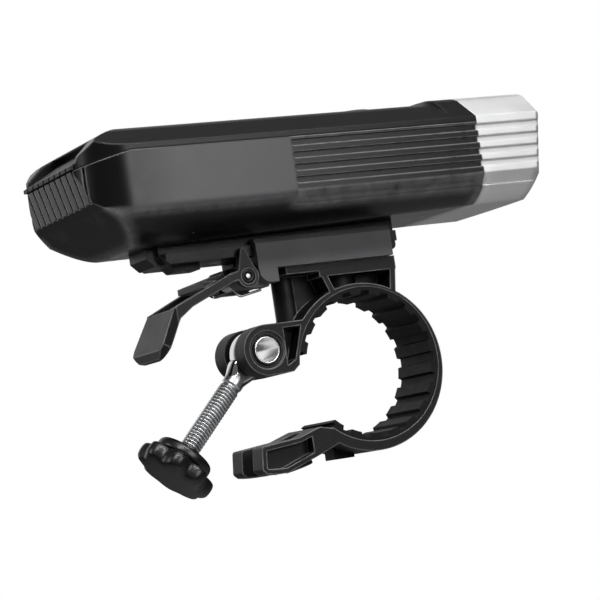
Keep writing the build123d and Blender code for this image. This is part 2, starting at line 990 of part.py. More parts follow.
# Charging socket: a metal shell, closed behind, with a tongue
with BuildPart() as charging_socket:
    with BuildSketch(slope_plane.offset(-flap_thickness - socket_drop)):
        with Locations((slope_length / 2, 0)):
            Rectangle(socket_height, socket_width)
    extrude(amount=-socket_depth)
    with BuildSketch(slope_plane.offset(-flap_thickness - socket_drop)):
        with Locations((slope_length / 2, 0)):
            Rectangle(socket_height - 2 * socket_wall, socket_width - 2 * socket_wall)
            Rectangle(
                socket_wall, socket_width - 4 * socket_wall, mode=Mode.SUBTRACT
            )
    extrude(amount=socket_wall - socket_depth, mode=Mode.SUBTRACT)
charging_socket.part.label = "charging_socket"
export_step(charging_socket.part, "parts/charging_socket.step")

# Rubber cover of the port: a sloped flap with an oval outline, and a ribbed lower lip
flap_under = flap_thickness - flap_clear
flap_rise = math.tan(slope_angle)
flap_lip_x = body_rear_x - flap_lip
flap_foot_x = (
    body_rear_x
    + flap_under * math.sin(slope_angle)
    + (flap_lip_z - port_rear_z + flap_under * math.cos(slope_angle)) / flap_rise
)
with BuildPart() as port_cover:
    with BuildSketch(Plane.XZ):
        with BuildLine():
            Polyline(
                (flap_lip_x, flap_lip_z),
                (flap_lip_x, port_rear_z - flap_lip * flap_rise),
                (port_front_x, port_front_z),
                (
                    port_front_x + flap_under * math.sin(slope_angle),
                    port_front_z - flap_under * math.cos(slope_angle),
                ),
                (flap_foot_x, flap_lip_z),
                close=True,
            )
        make_face()
    extrude(amount=port_half, both=True)
    with BuildSketch(slope_plane):
        with Locations((slope_length / 2, 0)):
            SlotOverall(flap_oval_length, flap_oval_width, rotation=90)
            SlotOverall(
                flap_oval_length - 2 * flap_oval_groove,
                flap_oval_width - 2 * flap_oval_groove,
                rotation=90,
                mode=Mode.SUBTRACT,
            )
    extrude(amount=-flap_oval_depth, mode=Mode.SUBTRACT)
    with BuildSketch(Plane.YZ.offset(body_rear_x - flap_lip)):
        with Locations((0, port_rear_z)):
            with GridLocations(rear_rib_pitch, 0, flap_rib_count, 1):
                Rectangle(rear_rib_groove, overrun)
    extrude(amount=flap_lip, mode=Mode.SUBTRACT)
port_cover.part.label = "port_cover"
export_step(port_cover.part, "parts/port_cover.step")

# Rail shoe: a T-shaped rail under the lamp, with a rear block and a catch bump under it,
# and a stop tab in front
stop_rear_x = rail_rear_x - stop_reach
with BuildPart() as rail_shoe:
    with BuildSketch(Plane.YZ.offset(rail_rear_x)):
        with Locations((0, (rail_low_z + rail_high_z) / 2)):
            Rectangle(2 * rail_half, rail_high_z - rail_low_z)
        with Locations((0, (rail_low_z + bottom_front_z) / 2)):
            Rectangle(2 * neck_half, bottom_front_z - rail_low_z)
    extrude(amount=rail_front_x - rail_rear_x)
    chamfer(
        rail_shoe.edges().filter_by(Axis.Z).group_by(Axis.X)[0].group_by(Axis.Y)[0]
        + rail_shoe.edges().filter_by(Axis.Z).group_by(Axis.X)[0].group_by(Axis.Y)[-1],
        rail_corner,
    )
    with BuildSketch(Plane.XZ):
        with BuildLine():
            Polyline(
                (rail_rear_x, rail_low_z + rail_bevel),
                (rail_rear_x, rail_low_z),
                (rail_rear_x + rail_bevel, rail_low_z),
                close=True,
            )
        make_face()
    extrude(amount=rail_half, both=True, mode=Mode.SUBTRACT)
    with BuildSketch(Plane.XZ):
        with BuildLine():
            Polyline(
                (stop_rear_x, bottom_front_z),
                (stop_rear_x, rail_low_z + rail_bevel),
                (stop_rear_x + rail_bevel, rail_low_z),
                (rail_rear_x + 2 * rail_bevel, rail_low_z),
                (rail_rear_x + 2 * rail_bevel, bottom_front_z),
                close=True,
            )
        make_face()
    extrude(amount=stop_half, both=True)
    with BuildSketch(Plane.XZ):
        with BuildLine():
            Polyline(
                (bump_rear_x - bump_slope, rail_low_z),
                (bump_rear_x, bump_z),
                (bump_front_x, bump_z),
                (bump_front_x, rail_high_z),
                (bump_rear_x - bump_slope, rail_high_z),
                close=True,
            )
        make_face()
    extrude(amount=bump_half, both=True)
    with BuildSketch(Plane.XZ):
        with Locations((tab_x, (tab_z + rail_high_z) / 2)):
            RectangleRounded(tab_length, rail_high_z - tab_z, tab_radius)
    extrude(amount=tab_half, both=True)
    add(outer_form, mode=Mode.SUBTRACT)
    add(shoe_screws.part, mode=Mode.SUBTRACT)
rail_shoe.part.label = "rail_shoe"
export_step(rail_shoe.part, "parts/rail_shoe.step")

# Mount base: a channel that the rail slides in, with a rear skirt, two lugs for the
# lever's pin and a countersunk hole for the swivel
with BuildPart() as mount_base:
    with BuildSketch(Plane.YZ.offset(base_rear_x)):
        with BuildLine():
            Polyline(
                (-base_half, base_low_z),
                (base_half, base_low_z),
                (base_half, base_side_z),
                (base_half - base_bevel, base_high_z),
                (base_bevel - base_half, base_high_z),
                (-base_half, base_side_z),
                close=True,
            )
        make_face()
    extrude(amount=base_front_x - base_rear_x)
    with BuildSketch(Plane.XZ):
        with Locations(((base_rear_x + skirt_front_x) / 2, (skirt_z + base_floor_z) / 2)):
            Rectangle(skirt_front_x - base_rear_x, base_floor_z - skirt_z)
        fillet(vertices().group_by(Axis.Y)[0].sort_by(Axis.X)[0], skirt_radius)
    extrude(amount=base_half, both=True)
    for side in (-1, 1):
        with BuildSketch(Plane.XZ.offset(side * (lug_outer + lug_inner) / 2)):
            with Locations((pivot_x, pivot_z)):
                Circle(lug_radius)
            with Locations(((pivot_x + base_rear_x + skirt_radius) / 2, pivot_z)):
                Rectangle(base_rear_x + skirt_radius - pivot_x, 2 * lug_radius)
        extrude(amount=(lug_outer - lug_inner) / 2, both=True)
    with BuildSketch(Plane.YZ.offset(base_rear_x)):
        with Locations((0, (base_floor_z + rail_high_z + slide_gap) / 2)):
            Rectangle(
                2 * (rail_half + slide_gap), rail_high_z + slide_gap - base_floor_z
            )
        with Locations((0, base_high_z)):
            Rectangle(2 * lip_half, 2 * (base_high_z - rail_high_z))
        with Locations((0, (bump_groove_z + base_floor_z) / 2)):
            Rectangle(2 * bump_groove_half, base_floor_z - bump_groove_z)
    extrude(amount=base_front_x - base_rear_x, mode=Mode.SUBTRACT)
    for side in (-1, 1):
        with BuildSketch(Plane.XZ.offset(side * (lug_outer + overrun / 2))):
            with Locations((pivot_x, pivot_z)):
                Circle(ear_relief)
        extrude(amount=overrun / 2 - run_fit, both=True, mode=Mode.SUBTRACT)
    with BuildSketch(Plane.XZ):
        with Locations((pivot_x, pivot_z)):
            Circle(pin_radius)
    extrude(amount=overrun, both=True, mode=Mode.SUBTRACT)
    with BuildSketch(Plane.XZ):
        with BuildLine():
            Polyline(
                (swivel_x, base_low_z - overrun),
                (swivel_x + swivel_shaft + run_fit, base_low_z - overrun),
                (swivel_x + swivel_shaft + run_fit, swivel_top_z - swivel_head_height),
                (swivel_x + swivel_head + run_fit, swivel_top_z),
                (swivel_x + swivel_head + run_fit, base_high_z),
                (swivel_x, base_high_z),
                close=True,
            )
        make_face()
    revolve(axis=Axis((swivel_x, 0, 0), (0, 0, 1)), mode=Mode.SUBTRACT)
mount_base.part.label = "mount_base"
export_step(mount_base.part, "parts/mount_base.step")

# Quick-release lever: two ears on the pin, the near one drawn up to a point, two arms
# with a block between them that carries the catch tooth, and a curved thumb pad
arm_strip = ribbon([arm_start, arm_knee, arm_foot, arm_end], arm_thickness)
with BuildPart() as release_lever:
    for side in (-1, 1):
        with BuildSketch(Plane.XZ.offset(side * (arm_inner + ear_outer) / 2)):
            with BuildLine():
                Polyline(*arm_strip, close=True)
            make_face()
        extrude(amount=(ear_outer - arm_inner) / 2, both=True)
    with BuildSketch(Plane.XZ):
        with BuildLine():
            ThreePointArc(pad_heel, pad_back, pad_low)
            Polyline(pad_low, pad_tip, pad_chin)
            ThreePointArc(pad_chin, pad_front, pad_throat)
            Polyline(pad_throat, pad_neck, pad_heel)
        make_face()
    extrude(amount=ear_outer, both=True)
    with BuildSketch(Plane.YZ.offset(stop_rear_x - overrun)):
        with Locations((0, pad_chin[1] + overrun / 2)):
            RectangleRounded(2 * pad_half, overrun, pad_corner)
        with Locations((0, pad_chin[1] + overrun / 2 + pad_corner)):
            Rectangle(2 * ear_outer, overrun)
    extrude(amount=2 * overrun, mode=Mode.INTERSECT)
    with BuildSketch(Plane.XY):
        with BuildLine():
            Polyline(
                (pad_waist_x - overrun / 2, -ear_outer),
                (pad_low[0], -pad_half),
                (pad_waist_x, -pad_waist_half),
                (shoulder_x, -ear_outer),
                (pivot_x + overrun, -ear_outer),
                (pivot_x + overrun, ear_outer),
                (shoulder_x, ear_outer),
                (pad_waist_x, pad_waist_half),
                (pad_low[0], pad_half),
                (pad_waist_x - overrun / 2, ear_outer),
                close=True,
            )
        make_face()
    extrude(amount=overrun, mode=Mode.INTERSECT)
    for side in (-1, 1):
        with BuildSketch(Plane.XZ.offset(side * (ear_inner + ear_outer) / 2)):
            with Locations((pivot_x, pivot_z)):
                Circle(ear_radius)
        extrude(amount=(ear_outer - ear_inner) / 2, both=True)
    with BuildSketch(Plane.XZ.offset((ear_inner + ear_outer) / 2)):
        with BuildLine():
            Polyline(
                (pivot_x - ear_radius, pivot_z),
                (ear_apex[0] - ear_apex_radius, ear_apex[1]),
                (ear_apex[0] + ear_apex_radius, ear_apex[1]),
                (pivot_x + ear_radius, pivot_z),
                close=True,
            )
        make_face()
        with Locations(ear_apex):
            Circle(ear_apex_radius)
    extrude(amount=(ear_outer - ear_inner) / 2, both=True)
    with BuildSketch(Plane.XZ):
        with Locations(((block_rear[0] + block_front[0]) / 2, web_z + web_thickness / 2)):
            Rectangle(block_front[0] - block_rear[0], web_thickness)
    extrude(amount=(ear_inner + arm_inner) / 2, both=True)
    with BuildSketch(Plane.XZ):
        with BuildLine():
            Polyline(
                (block_rear[0], web_z),
                block_rear,
                block_front,
                (block_front[0], web_z),
                close=True,
            )
        make_face()
    extrude(amount=block_half, both=True)
    with BuildSketch(Plane.XZ):
        with Locations((pivot_x, pivot_z)):
            Circle(lug_radius + gap)
    extrude(amount=(ear_inner + lug_outer) / 2, both=True, mode=Mode.SUBTRACT)
    with BuildSketch(Plane.XZ):
        with BuildLine():
            Polyline(
                (block_front[0] - hub_step, web_z),
                (block_front[0] - hub_step, block_front[1]),
                (block_front[0], block_front[1] + hub_step),
                (tooth_rear_x, hub_top_z),
                (tooth_rear_x, tooth_z),
                (tooth_front_x - tooth_bevel, tooth_z),
                (tooth_front_x, tooth_z - tooth_bevel),
                (tooth_front_x, pivot_z),
                (pivot_x, web_z),
                close=True,
            )
        make_face()
        with Locations((pivot_x, pivot_z)):
            Circle(spring_coil + spring_wire + spring_clear, mode=Mode.SUBTRACT)
    extrude(amount=hub_half, both=True)
    with BuildSketch(Plane.XZ):
        with Locations((pivot_x, pivot_z)):
            Circle(pin_radius + run_fit)
    extrude(amount=overrun, both=True, mode=Mode.SUBTRACT)
release_lever.part.label = "release_lever"
export_step(release_lever.part, "parts/release_lever.step")

# Hollow pin of the lever
with BuildPart() as lever_pin:
    with BuildSketch(Plane.XZ):
        with Locations((pivot_x, pivot_z)):
            Circle(pin_radius)
            Circle(pin_bore, mode=Mode.SUBTRACT)
    extrude(amount=ear_outer, both=True)
lever_pin.part.label = "lever_pin"
export_step(lever_pin.part, "parts/lever_pin.step")

# Torsion spring on the pin: a coil with one bent leg forward under the base's skirt and
# one straight leg back under the block. The wire's middle line goes clockwise seen from
# the near side, in quarter turns.
spring_sweep = 2 * math.pi * spring_turns + spring_start_angle - spring_end_angle
spring_quarters = round(spring_sweep / (math.pi / 2))
spring_lead = spring_pitch / (2 * math.pi)
spring_start_y = -spring_lead * spring_sweep / 2


def coil_point(turned):
    """Point of the coil after this much of the sweep."""
    angle = spring_start_angle - turned
    return Vector(
        pivot_x + spring_coil * math.cos(angle),
        spring_start_y + spring_lead * turned,
        pivot_z + spring_coil * math.sin(angle),
    )


def coil_heading(turned):
    """The way the coil's wire runs after this much of the sweep."""
    angle = spring_start_angle - turned
    return Vector(
        spring_coil * math.sin(angle), spring_lead, -spring_coil * math.cos(angle)
    ).normalized()


coil_stops = [spring_sweep * row / spring_quarters for row in range(spring_quarters + 1)]
coil_start = coil_point(0)
coil_end = coil_point(spring_sweep)
tail_length = (spring_tail_x - coil_end.X) / coil_heading(spring_sweep).X
tail_tip = coil_end + coil_heading(spring_sweep) * tail_length
foot_reach = (coil_start.Z - spring_foot_z) / coil_heading(0).Z
leg_foot = coil_start - coil_heading(0) * foot_reach
leg_tip = Vector(spring_leg_tip[0], leg_foot.Y, spring_leg_tip[1])
leg_heading = (leg_foot - leg_tip).normalized()
bend_start = leg_foot - leg_heading * spring_bend
bend_end = leg_foot + coil_heading(0) * spring_bend
with BuildPart() as lever_spring:
    with BuildLine() as wire_path:
        Line(leg_tip, bend_start)
        TangentArc(bend_start, bend_end, tangent=leg_heading)
        Line(bend_end, coil_start)
        for first, last in zip(coil_stops[:-1], coil_stops[1:]):
            start = coil_point(first)
            end = coil_point(last)
            heading = coil_heading(first)
            arriving = coil_heading(last)
            chord = end - start
            square = 2 * (heading.dot(arriving) - 1)
            slope = -2 * chord.dot(heading + arriving)
            root = math.sqrt(slope**2 - 4 * square * chord.dot(chord))
            reach = (-slope - root) / (2 * square)
            joint = (start + heading * reach + end - arriving * reach) / 2
            TangentArc(start, joint, tangent=heading)
            middle = (end - arriving * reach) - (start + heading * reach)
            TangentArc(joint, end, tangent=middle.normalized())
        Line(coil_end, tail_tip)
    with BuildSketch(Plane(origin=leg_tip, z_dir=leg_heading)):
        Circle(spring_wire)
    sweep(path=wire_path.line)
lever_spring.part.label = "lever_spring"
export_step(lever_spring.part, "parts/lever_spring.step")

steps = 40 * spring_quarters
samples = [coil_point(spring_sweep * step / steps) for step in range(steps + 1)]
apart = steps // (2 * spring_turns)
least = min(
    (samples[first] - samples[last]).length
    for first in range(0, steps + 1, 4)
    for last in range(first + apart, steps + 1)
)
print("least gap of the spring's wire to itself", round(least - 2 * spring_wire, 3))

# Countersunk swivel screw, and its nut in the clamp
swivel_tip_z = bar_radius + nut_floor
with BuildPart() as swivel_screw:
    with BuildSketch(Plane.XZ):
        with BuildLine():
            Polyline(
                (swivel_x, swivel_tip_z),
                (swivel_x + swivel_shaft, swivel_tip_z),
                (swivel_x + swivel_shaft, swivel_top_z - swivel_head_height),
                (swivel_x + swivel_head, swivel_top_z),
                (swivel_x, swivel_top_z),
                close=True,
            )
        make_face()
    revolve(axis=Axis((swivel_x, 0, 0), (0, 0, 1)))
swivel_screw.part.label = "swivel_screw"
export_step(swivel_screw.part, "parts/swivel_screw.step")

with BuildPart() as swivel_nut:
    with BuildSketch(Plane.XY.offset(swivel_tip_z)):
        with Locations((swivel_x, 0)):
            RegularPolygon(nut_across / 2, 6, major_radius=False)
            Circle(swivel_shaft, mode=Mode.SUBTRACT)
    extrude(amount=nut_height)
swivel_nut.part.label = "swivel_nut"
export_step(swivel_nut.part, "parts/swivel_nut.step")

# Toothed rubber liner round the handlebar, with a stud through the band
liner_radius = bar_radius + tooth_height
bore_radius = liner_radius + liner_thickness
band_radius = bore_radius + band_wall
mouth_start = math.radians(liner_from)
mouth_end = math.radians(liner_to + 360)
mouth = [
    (0, 0),
    (overrun * math.cos(mouth_start), overrun * math.sin(mouth_start)),
    (overrun * math.cos(mouth_end), overrun * math.sin(mouth_end)),
]
with BuildPart() as clamp_liner:
    with BuildSketch(Plane.XZ):
        Circle(bore_radius)
        Circle(liner_radius, mode=Mode.SUBTRACT)
        with BuildLine():
            Polyline(*mouth, close=True)
        make_face(mode=Mode.SUBTRACT)
        for row in range(liner_tooth_count):
            middle = math.radians(tooth_first_angle - tooth_pitch_angle * row)
            half = math.radians(tooth_pitch_angle * liner_tooth_share / 2)
            with BuildLine():
                RadiusArc(
                    (bar_radius * math.cos(middle + half), bar_radius * math.sin(middle + half)),
                    (bar_radius * math.cos(middle - half), bar_radius * math.sin(middle - half)),
                    bar_radius,
                )
                Polyline(
                    (bar_radius * math.cos(middle - half), bar_radius * math.sin(middle - half)),
                    (
                        (liner_radius + skin) * math.cos(middle - half * tooth_root_share),
                        (liner_radius + skin) * math.sin(middle - half * tooth_root_share),
                    ),
                    (
                        (liner_radius + skin) * math.cos(middle + half * tooth_root_share),
                        (liner_radius + skin) * math.sin(middle + half * tooth_root_share),
                    ),
                    (bar_radius * math.cos(middle + half), bar_radius * math.sin(middle + half)),
                )
            make_face()
    extrude(amount=clamp_half, both=True)
    with BuildSketch(Plane.XZ):
        with BuildLine():
            Polyline(
                (plug_rear_x, plug_low_z),
                (plug_front_x, plug_low_z),
                (plug_front_x, 0),
                (plug_rear_x, 0),
                close=True,
            )
        make_face()
        Circle(liner_radius, mode=Mode.SUBTRACT)
    extrude(amount=plug_half, both=True)
clamp_liner.part.label = "clamp_liner"
export_step(clamp_liner.part, "parts/clamp_liner.step")

# Hollow rivet through the clevis, with flared ends
with BuildPart() as pivot_barrel:
    with BuildSketch(Plane.XZ):
        with Locations((clevis_x, clevis_z)):
            Circle(barrel_radius)
    extrude(amount=clamp_half, both=True)
    for side in (-1, 1):
        with BuildSketch(Plane.XZ.offset(side * (clamp_half - ear_recess / 2))):
            with Locations((clevis_x, clevis_z)):
                Circle(ear_recess_radius)
        extrude(amount=ear_recess / 2, both=True)
    with BuildSketch(Plane.XZ):
        with Locations((clevis_x, clevis_z)):
            Circle(barrel_bore)
    extrude(amount=clamp_half, both=True, mode=Mode.SUBTRACT)
pivot_barrel.part.label = "pivot_barrel"
export_step(pivot_barrel.part, "parts/pivot_barrel.step")

# Clamp band: one moulding with the ring, its plate and struts, the clevis arm and the
# forked end. Thin webs along its middle fill the hollows of its sides.
closed = math.radians(closed_angle)
closed_plane = Plane(
    origin=(clevis_x, 0, clevis_z),
    x_dir=(0, 1, 0),
    z_dir=(math.cos(closed), 0, math.sin(closed)),
)
with BuildSketch(Plane.XZ) as fork_shape:
    with BuildLine():
        Polyline(*fork_outline, close=True)
    make_face()
    offset(amount=-fork_corner, mode=Mode.REPLACE)
    offset(amount=fork_corner, mode=Mode.REPLACE)
    with Locations((clevis_x, clevis_z)):
        Circle(fork_reach, mode=Mode.INTERSECT)
with BuildSketch(Plane.XZ) as fork_pocket:
    add(fork_shape.sketch)
    offset(amount=-wall_width, mode=Mode.REPLACE)
    with Locations((fork_pocket_x - overrun / 2, 0)):
        Rectangle(overrun, 2 * overrun, mode=Mode.INTERSECT)
with BuildPart() as clamp_band:
    with BuildSketch(Plane.XZ):
        with Locations((band_shift_x, band_shift_z)):
            Circle(band_radius)
        with BuildLine():
            Polyline(*mouth, close=True)
        make_face(mode=Mode.SUBTRACT)
        with Locations((clevis_x, clevis_z)):
            Circle(clevis_radius)
        with BuildLine():
            Polyline(
                (clevis_x, clevis_z + clevis_radius),
                (arm_top_x, clevis_z + clevis_radius),
                clevis_foot,
                (clevis_x + clevis_radius, arm_lip_z),
                (clevis_x, clevis_z - clevis_radius),
                close=True,
            )
        make_face()
    extrude(amount=clamp_half, both=True)
    with BuildSketch(Plane.XZ):
        with Locations(((plate_step_x + plate_front_x) / 2, (plate_top_z + plate_thick_z) / 2)):
            Rectangle(plate_front_x - plate_step_x, plate_top_z - plate_thick_z)
        with Locations(((plate_rear_x + plate_step_x) / 2, (plate_top_z + plate_low_z) / 2)):
            Rectangle(plate_step_x - plate_rear_x, plate_top_z - plate_low_z)
        for top, foot in (
            ((strut_top_x, plate_low_z), strut_foot),
            ((front_strut_top_x, plate_low_z), front_strut_foot),
        ):
            with BuildLine():
                Polyline(*ribbon([top, foot], strut_width), close=True)
            make_face()
    extrude(amount=clamp_half, both=True)
    with BuildSketch(Plane.XY.offset(plate_low_z)):
        with Locations((swivel_x - overrun / 2 + web_edge_x, 0)):
            Rectangle(overrun, 2 * overrun)
        with Locations((swivel_x, 0)):
            Circle(plate_rear_radius, mode=Mode.SUBTRACT)
    extrude(amount=overrun, mode=Mode.SUBTRACT)
    with BuildSketch(Plane.XZ):
        with BuildLine():
            Polyline(
                (web_edge_x, plate_low_z),
                (front_strut_top_x, plate_low_z),
                front_strut_foot,
                (arm_top_x, clevis_z + clevis_radius - wall_width),
                (web_edge_x, clevis_z + clevis_radius - wall_width),
                close=True,
            )
        make_face()
    extrude(amount=web_half, both=True)
    with BuildSketch(Plane.XY.offset(clevis_z + clevis_radius - wall_width)):
        with Locations((web_edge_x, 0)):
            Circle(web_rib_radius)
    extrude(amount=plate_low_z - clevis_z - clevis_radius + wall_width)
    with BuildSketch(Plane.XY.offset(liner_radius)):
        with Locations((swivel_x, 0)):
            Circle(boss_radius)
    extrude(amount=plate_thick_z - liner_radius)
    with BuildSketch(Plane.XZ):
        with BuildLine():
            Polyline(*arm_pocket, close=True)
        make_face()
    extrude(amount=clamp_half, both=True, mode=Mode.SUBTRACT)
    with BuildSketch(Plane.XZ):
        with BuildLine():
            Polyline(*arm_pocket, close=True)
        make_face()
    extrude(amount=arm_web_half, both=True)
    with BuildSketch(Plane.XZ):
        add(fork_shape.sketch)
    extrude(amount=clamp_half, both=True)
    for side in (-1, 1):
        with BuildSketch(Plane.XZ.offset(side * clamp_half)):
            add(fork_pocket.sketch)
        extrude(amount=pocket_depth, both=True, mode=Mode.SUBTRACT)
    with BuildSketch(closed_plane.offset(seat_start)):
        Circle(seat_radius)
    extrude(amount=fork_reach - seat_start)
    with BuildSketch(Plane.XY.offset(fork_cut_z)):
        with Locations((fork_slot_x - overrun / 2, 0)):
            Rectangle(overrun, 2 * slot_half)
        with Locations((fork_slot_x, 0)):
            Circle(slot_half)
    extrude(amount=-overrun, mode=Mode.SUBTRACT)
    with BuildSketch(Plane.XZ):
        with Locations((clevis_x, clevis_z)):
            Circle(slot_clearance)
        with Locations((clevis_x - overrun / 2, clevis_z)):
            Rectangle(overrun, 2 * (clevis_radius + gap))
        with Locations((clevis_x + slot_clearance / 2, clevis_z - clevis_radius / 2)):
            Rectangle(slot_clearance, clevis_radius + gap)
    extrude(amount=slot_half, both=True, mode=Mode.SUBTRACT)
    with BuildSketch(Plane.XZ):
        Circle(bore_radius)
    extrude(amount=overrun, both=True, mode=Mode.SUBTRACT)
    with BuildSketch(Plane.XY.offset(bar_radius)):
        with Locations((swivel_x, 0)):
            RegularPolygon(nut_across / 2, 6, major_radius=False)
    extrude(amount=swivel_tip_z + nut_height - bar_radius, mode=Mode.SUBTRACT)
    with BuildSketch(Plane.XY.offset(bar_radius)):
        with Locations((swivel_x, 0)):
            Circle(swivel_shaft)
    extrude(amount=overrun, mode=Mode.SUBTRACT)
    add(clamp_liner.part, mode=Mode.SUBTRACT)
    with BuildSketch(Plane.XZ):
        with Locations((clevis_x, clevis_z)):
            Circle(barrel_bore)
    extrude(amount=clamp_half, both=True, mode=Mode.SUBTRACT)
    add(pivot_barrel.part, mode=Mode.SUBTRACT)
clamp_band.part.label = "clamp_band"
export_step(clamp_band.part, "parts/clamp_band.step")

# Chromed eye bolt, drawn along its own axis away from the clevis
turned = math.radians(bolt_angle)
bolt_plane = Plane(
    origin=(clevis_x, 0, clevis_z),
    x_dir=(0, 1, 0),
    z_dir=(math.cos(turned), 0, math.sin(turned)),
)
with BuildPart() as clamp_bolt:
    with BuildSketch(Plane.XZ):
        with Locations((clevis_x, clevis_z)):
            Circle(eye_radius)
    extrude(amount=eye_half, both=True)
    with BuildSketch(bolt_plane.offset(neck_start)):
        Rectangle(2 * eye_half, 2 * bolt_neck_half)
    with BuildSketch(bolt_plane.offset(neck_end)):
        Rectangle(bolt_radius * math.sqrt(2), bolt_radius * math.sqrt(2))
    loft(ruled=True)
    with BuildSketch(bolt_plane.offset(neck_start)):
        Circle(bolt_radius)
    extrude(amount=bolt_end - neck_start)
    with BuildSketch(Plane.XZ):
        with Locations((clevis_x, clevis_z)):
            Circle(barrel_radius + run_fit)
    extrude(amount=clamp_half, both=True, mode=Mode.SUBTRACT)
clamp_bolt.part.label = "clamp_bolt"
export_step(clamp_bolt.part, "parts/clamp_bolt.step")

# Smooth collar that presses on the fork
with BuildPart() as knob_collar:
    with BuildSketch(bolt_plane.offset(collar_start)):
        Circle(collar_radius)
    extrude(amount=collar_height)
    chamfer(knob_collar.edges(), collar_edge)
    with BuildSketch(bolt_plane.offset(collar_start)):
        Circle(bolt_radius + run_fit)
    extrude(amount=collar_height, mode=Mode.SUBTRACT)
knob_collar.part.label = "knob_collar"
export_step(knob_collar.part, "parts/knob_collar.step")

# Metal nut moulded into the knob
knob_start = collar_start + collar_height + run_fit
with BuildPart() as knob_insert:
    with BuildSketch(bolt_plane.offset(knob_start)):
        Circle(insert_radius)
        Circle(bolt_radius + run_fit, mode=Mode.SUBTRACT)
    extrude(amount=insert_height)
knob_insert.part.label = "knob_insert"
export_step(knob_insert.part, "parts/knob_insert.step")

# Lobed knob with a low dome and a blind bore
with BuildPart() as clamp_knob:
    with BuildSketch(bolt_plane.offset(knob_start)):
        Circle(seam_radius)
    extrude(amount=seam)
    with BuildSketch(bolt_plane.offset(knob_start + seam)):
        Circle(knob_radius)
        with PolarLocations(knob_radius + lobe_cut_radius - lobe_depth, lobe_count):
            Circle(lobe_cut_radius, mode=Mode.SUBTRACT)
    extrude(amount=knob_height)
    with BuildSketch(bolt_plane.offset(knob_start + seam + knob_height)):
        Circle(dome_radius)
    with BuildSketch(bolt_plane.offset(knob_start + seam + knob_height + dome_height)):
        Circle(dome_radius - dome_height)
    loft()
    with BuildSketch(bolt_plane.offset(knob_start)):
        Circle(bolt_radius + run_fit)
    extrude(amount=bolt_end + run_fit - knob_start, mode=Mode.SUBTRACT)
    add(knob_insert.part, mode=Mode.SUBTRACT)
clamp_knob.part.label = "clamp_knob"
export_step(clamp_knob.part, "parts/clamp_knob.step")
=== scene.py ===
# Bike headlight on a quick-release handlebar clamp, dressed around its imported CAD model.
# Lengths are in metres in the scene, and in millimetres where a name ends in _mm.
import math

import bmesh
import bpy
import numpy as np
from mathutils import Matrix, Vector


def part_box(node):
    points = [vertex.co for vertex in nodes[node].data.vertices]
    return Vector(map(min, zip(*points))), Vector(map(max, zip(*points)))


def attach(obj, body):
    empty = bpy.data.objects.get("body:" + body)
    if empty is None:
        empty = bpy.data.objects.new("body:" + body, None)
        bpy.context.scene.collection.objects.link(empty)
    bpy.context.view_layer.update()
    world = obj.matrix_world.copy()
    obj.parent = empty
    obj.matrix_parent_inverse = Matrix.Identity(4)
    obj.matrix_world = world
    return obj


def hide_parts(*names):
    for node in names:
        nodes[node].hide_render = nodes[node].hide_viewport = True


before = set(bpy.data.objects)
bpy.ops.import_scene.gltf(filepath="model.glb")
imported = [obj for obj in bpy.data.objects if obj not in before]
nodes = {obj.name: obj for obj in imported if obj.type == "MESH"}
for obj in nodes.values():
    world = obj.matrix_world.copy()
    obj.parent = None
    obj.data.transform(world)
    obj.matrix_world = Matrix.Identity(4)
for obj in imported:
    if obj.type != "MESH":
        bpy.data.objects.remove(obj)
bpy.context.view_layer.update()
MM = 0.001

# Camera: a long lens a little below the lamp, seen from its near rear side, with the
# horizon tilted as in the product picture.
camera_place = (-0.25054, -0.49037, -0.02258)
camera_turn, camera_tilt, camera_roll = (math.radians(angle) for angle in (-26.0293, 94.1296, -8.5981))
camera_data = bpy.data.cameras.new("camera")
camera_data.lens = 143.2
camera_data.sensor_width = 36
camera = bpy.data.objects.new("camera", camera_data)
camera.matrix_world = (
    Matrix.Translation(camera_place)
    @ Matrix.Rotation(camera_turn, 4, "Z")
    @ Matrix.Rotation(camera_tilt, 4, "X")
    @ Matrix.Rotation(camera_roll, 4, "Z")
)
bpy.context.scene.collection.objects.link(camera)
bpy.context.scene.camera = camera
bpy.context.scene.view_settings.view_transform = "Standard"


# Studio: a pale plain floor well under the lamp and a white backdrop behind it. A wide
# soft panel hangs above, one stands at the near side where the flank mirrors it, a strip
# over the near side lights the upper edges, and a narrow panel lights the rear.
def srgb(code):
    """Linear red, green, blue and alpha of an sRGB hex colour."""
    share = np.array([int(code[i : i + 2], 16) for i in (1, 3, 5)]) / 255
    linear = np.where(share <= 0.04045, share / 12.92, ((share + 0.055) / 1.055) ** 2.4)
    return (*linear.tolist(), 1.0)


def add_node(tree, kind, settings=None, links=None):
    """Adds one node. Settings are input values by name or number, or the node's own
    properties, and links are sockets by the name or number of the input that they feed."""
    made = tree.nodes.new(kind)
    for name, value in (settings or {}).items():
        if isinstance(name, int) or name in made.inputs:
            made.inputs[name].default_value = value
        else:
            setattr(made, name, value)
    for name, socket in (links or {}).items():
        tree.links.new(socket, made.inputs[name])
    return made


def add_panel(name, place, target, size, power):
    """A soft rectangular lamp of this size and power at place, facing target."""
    lamp = bpy.data.lights.new(name, "AREA")
    lamp.shape = "RECTANGLE"
    lamp.size, lamp.size_y = size
    lamp.energy = power
    panel = bpy.data.objects.new(name, lamp)
    panel.location = place
    aim = Vector(target) - Vector(place)
    panel.rotation_euler = aim.to_track_quat("-Z", "Y").to_euler()
    bpy.context.scene.collection.objects.link(panel)


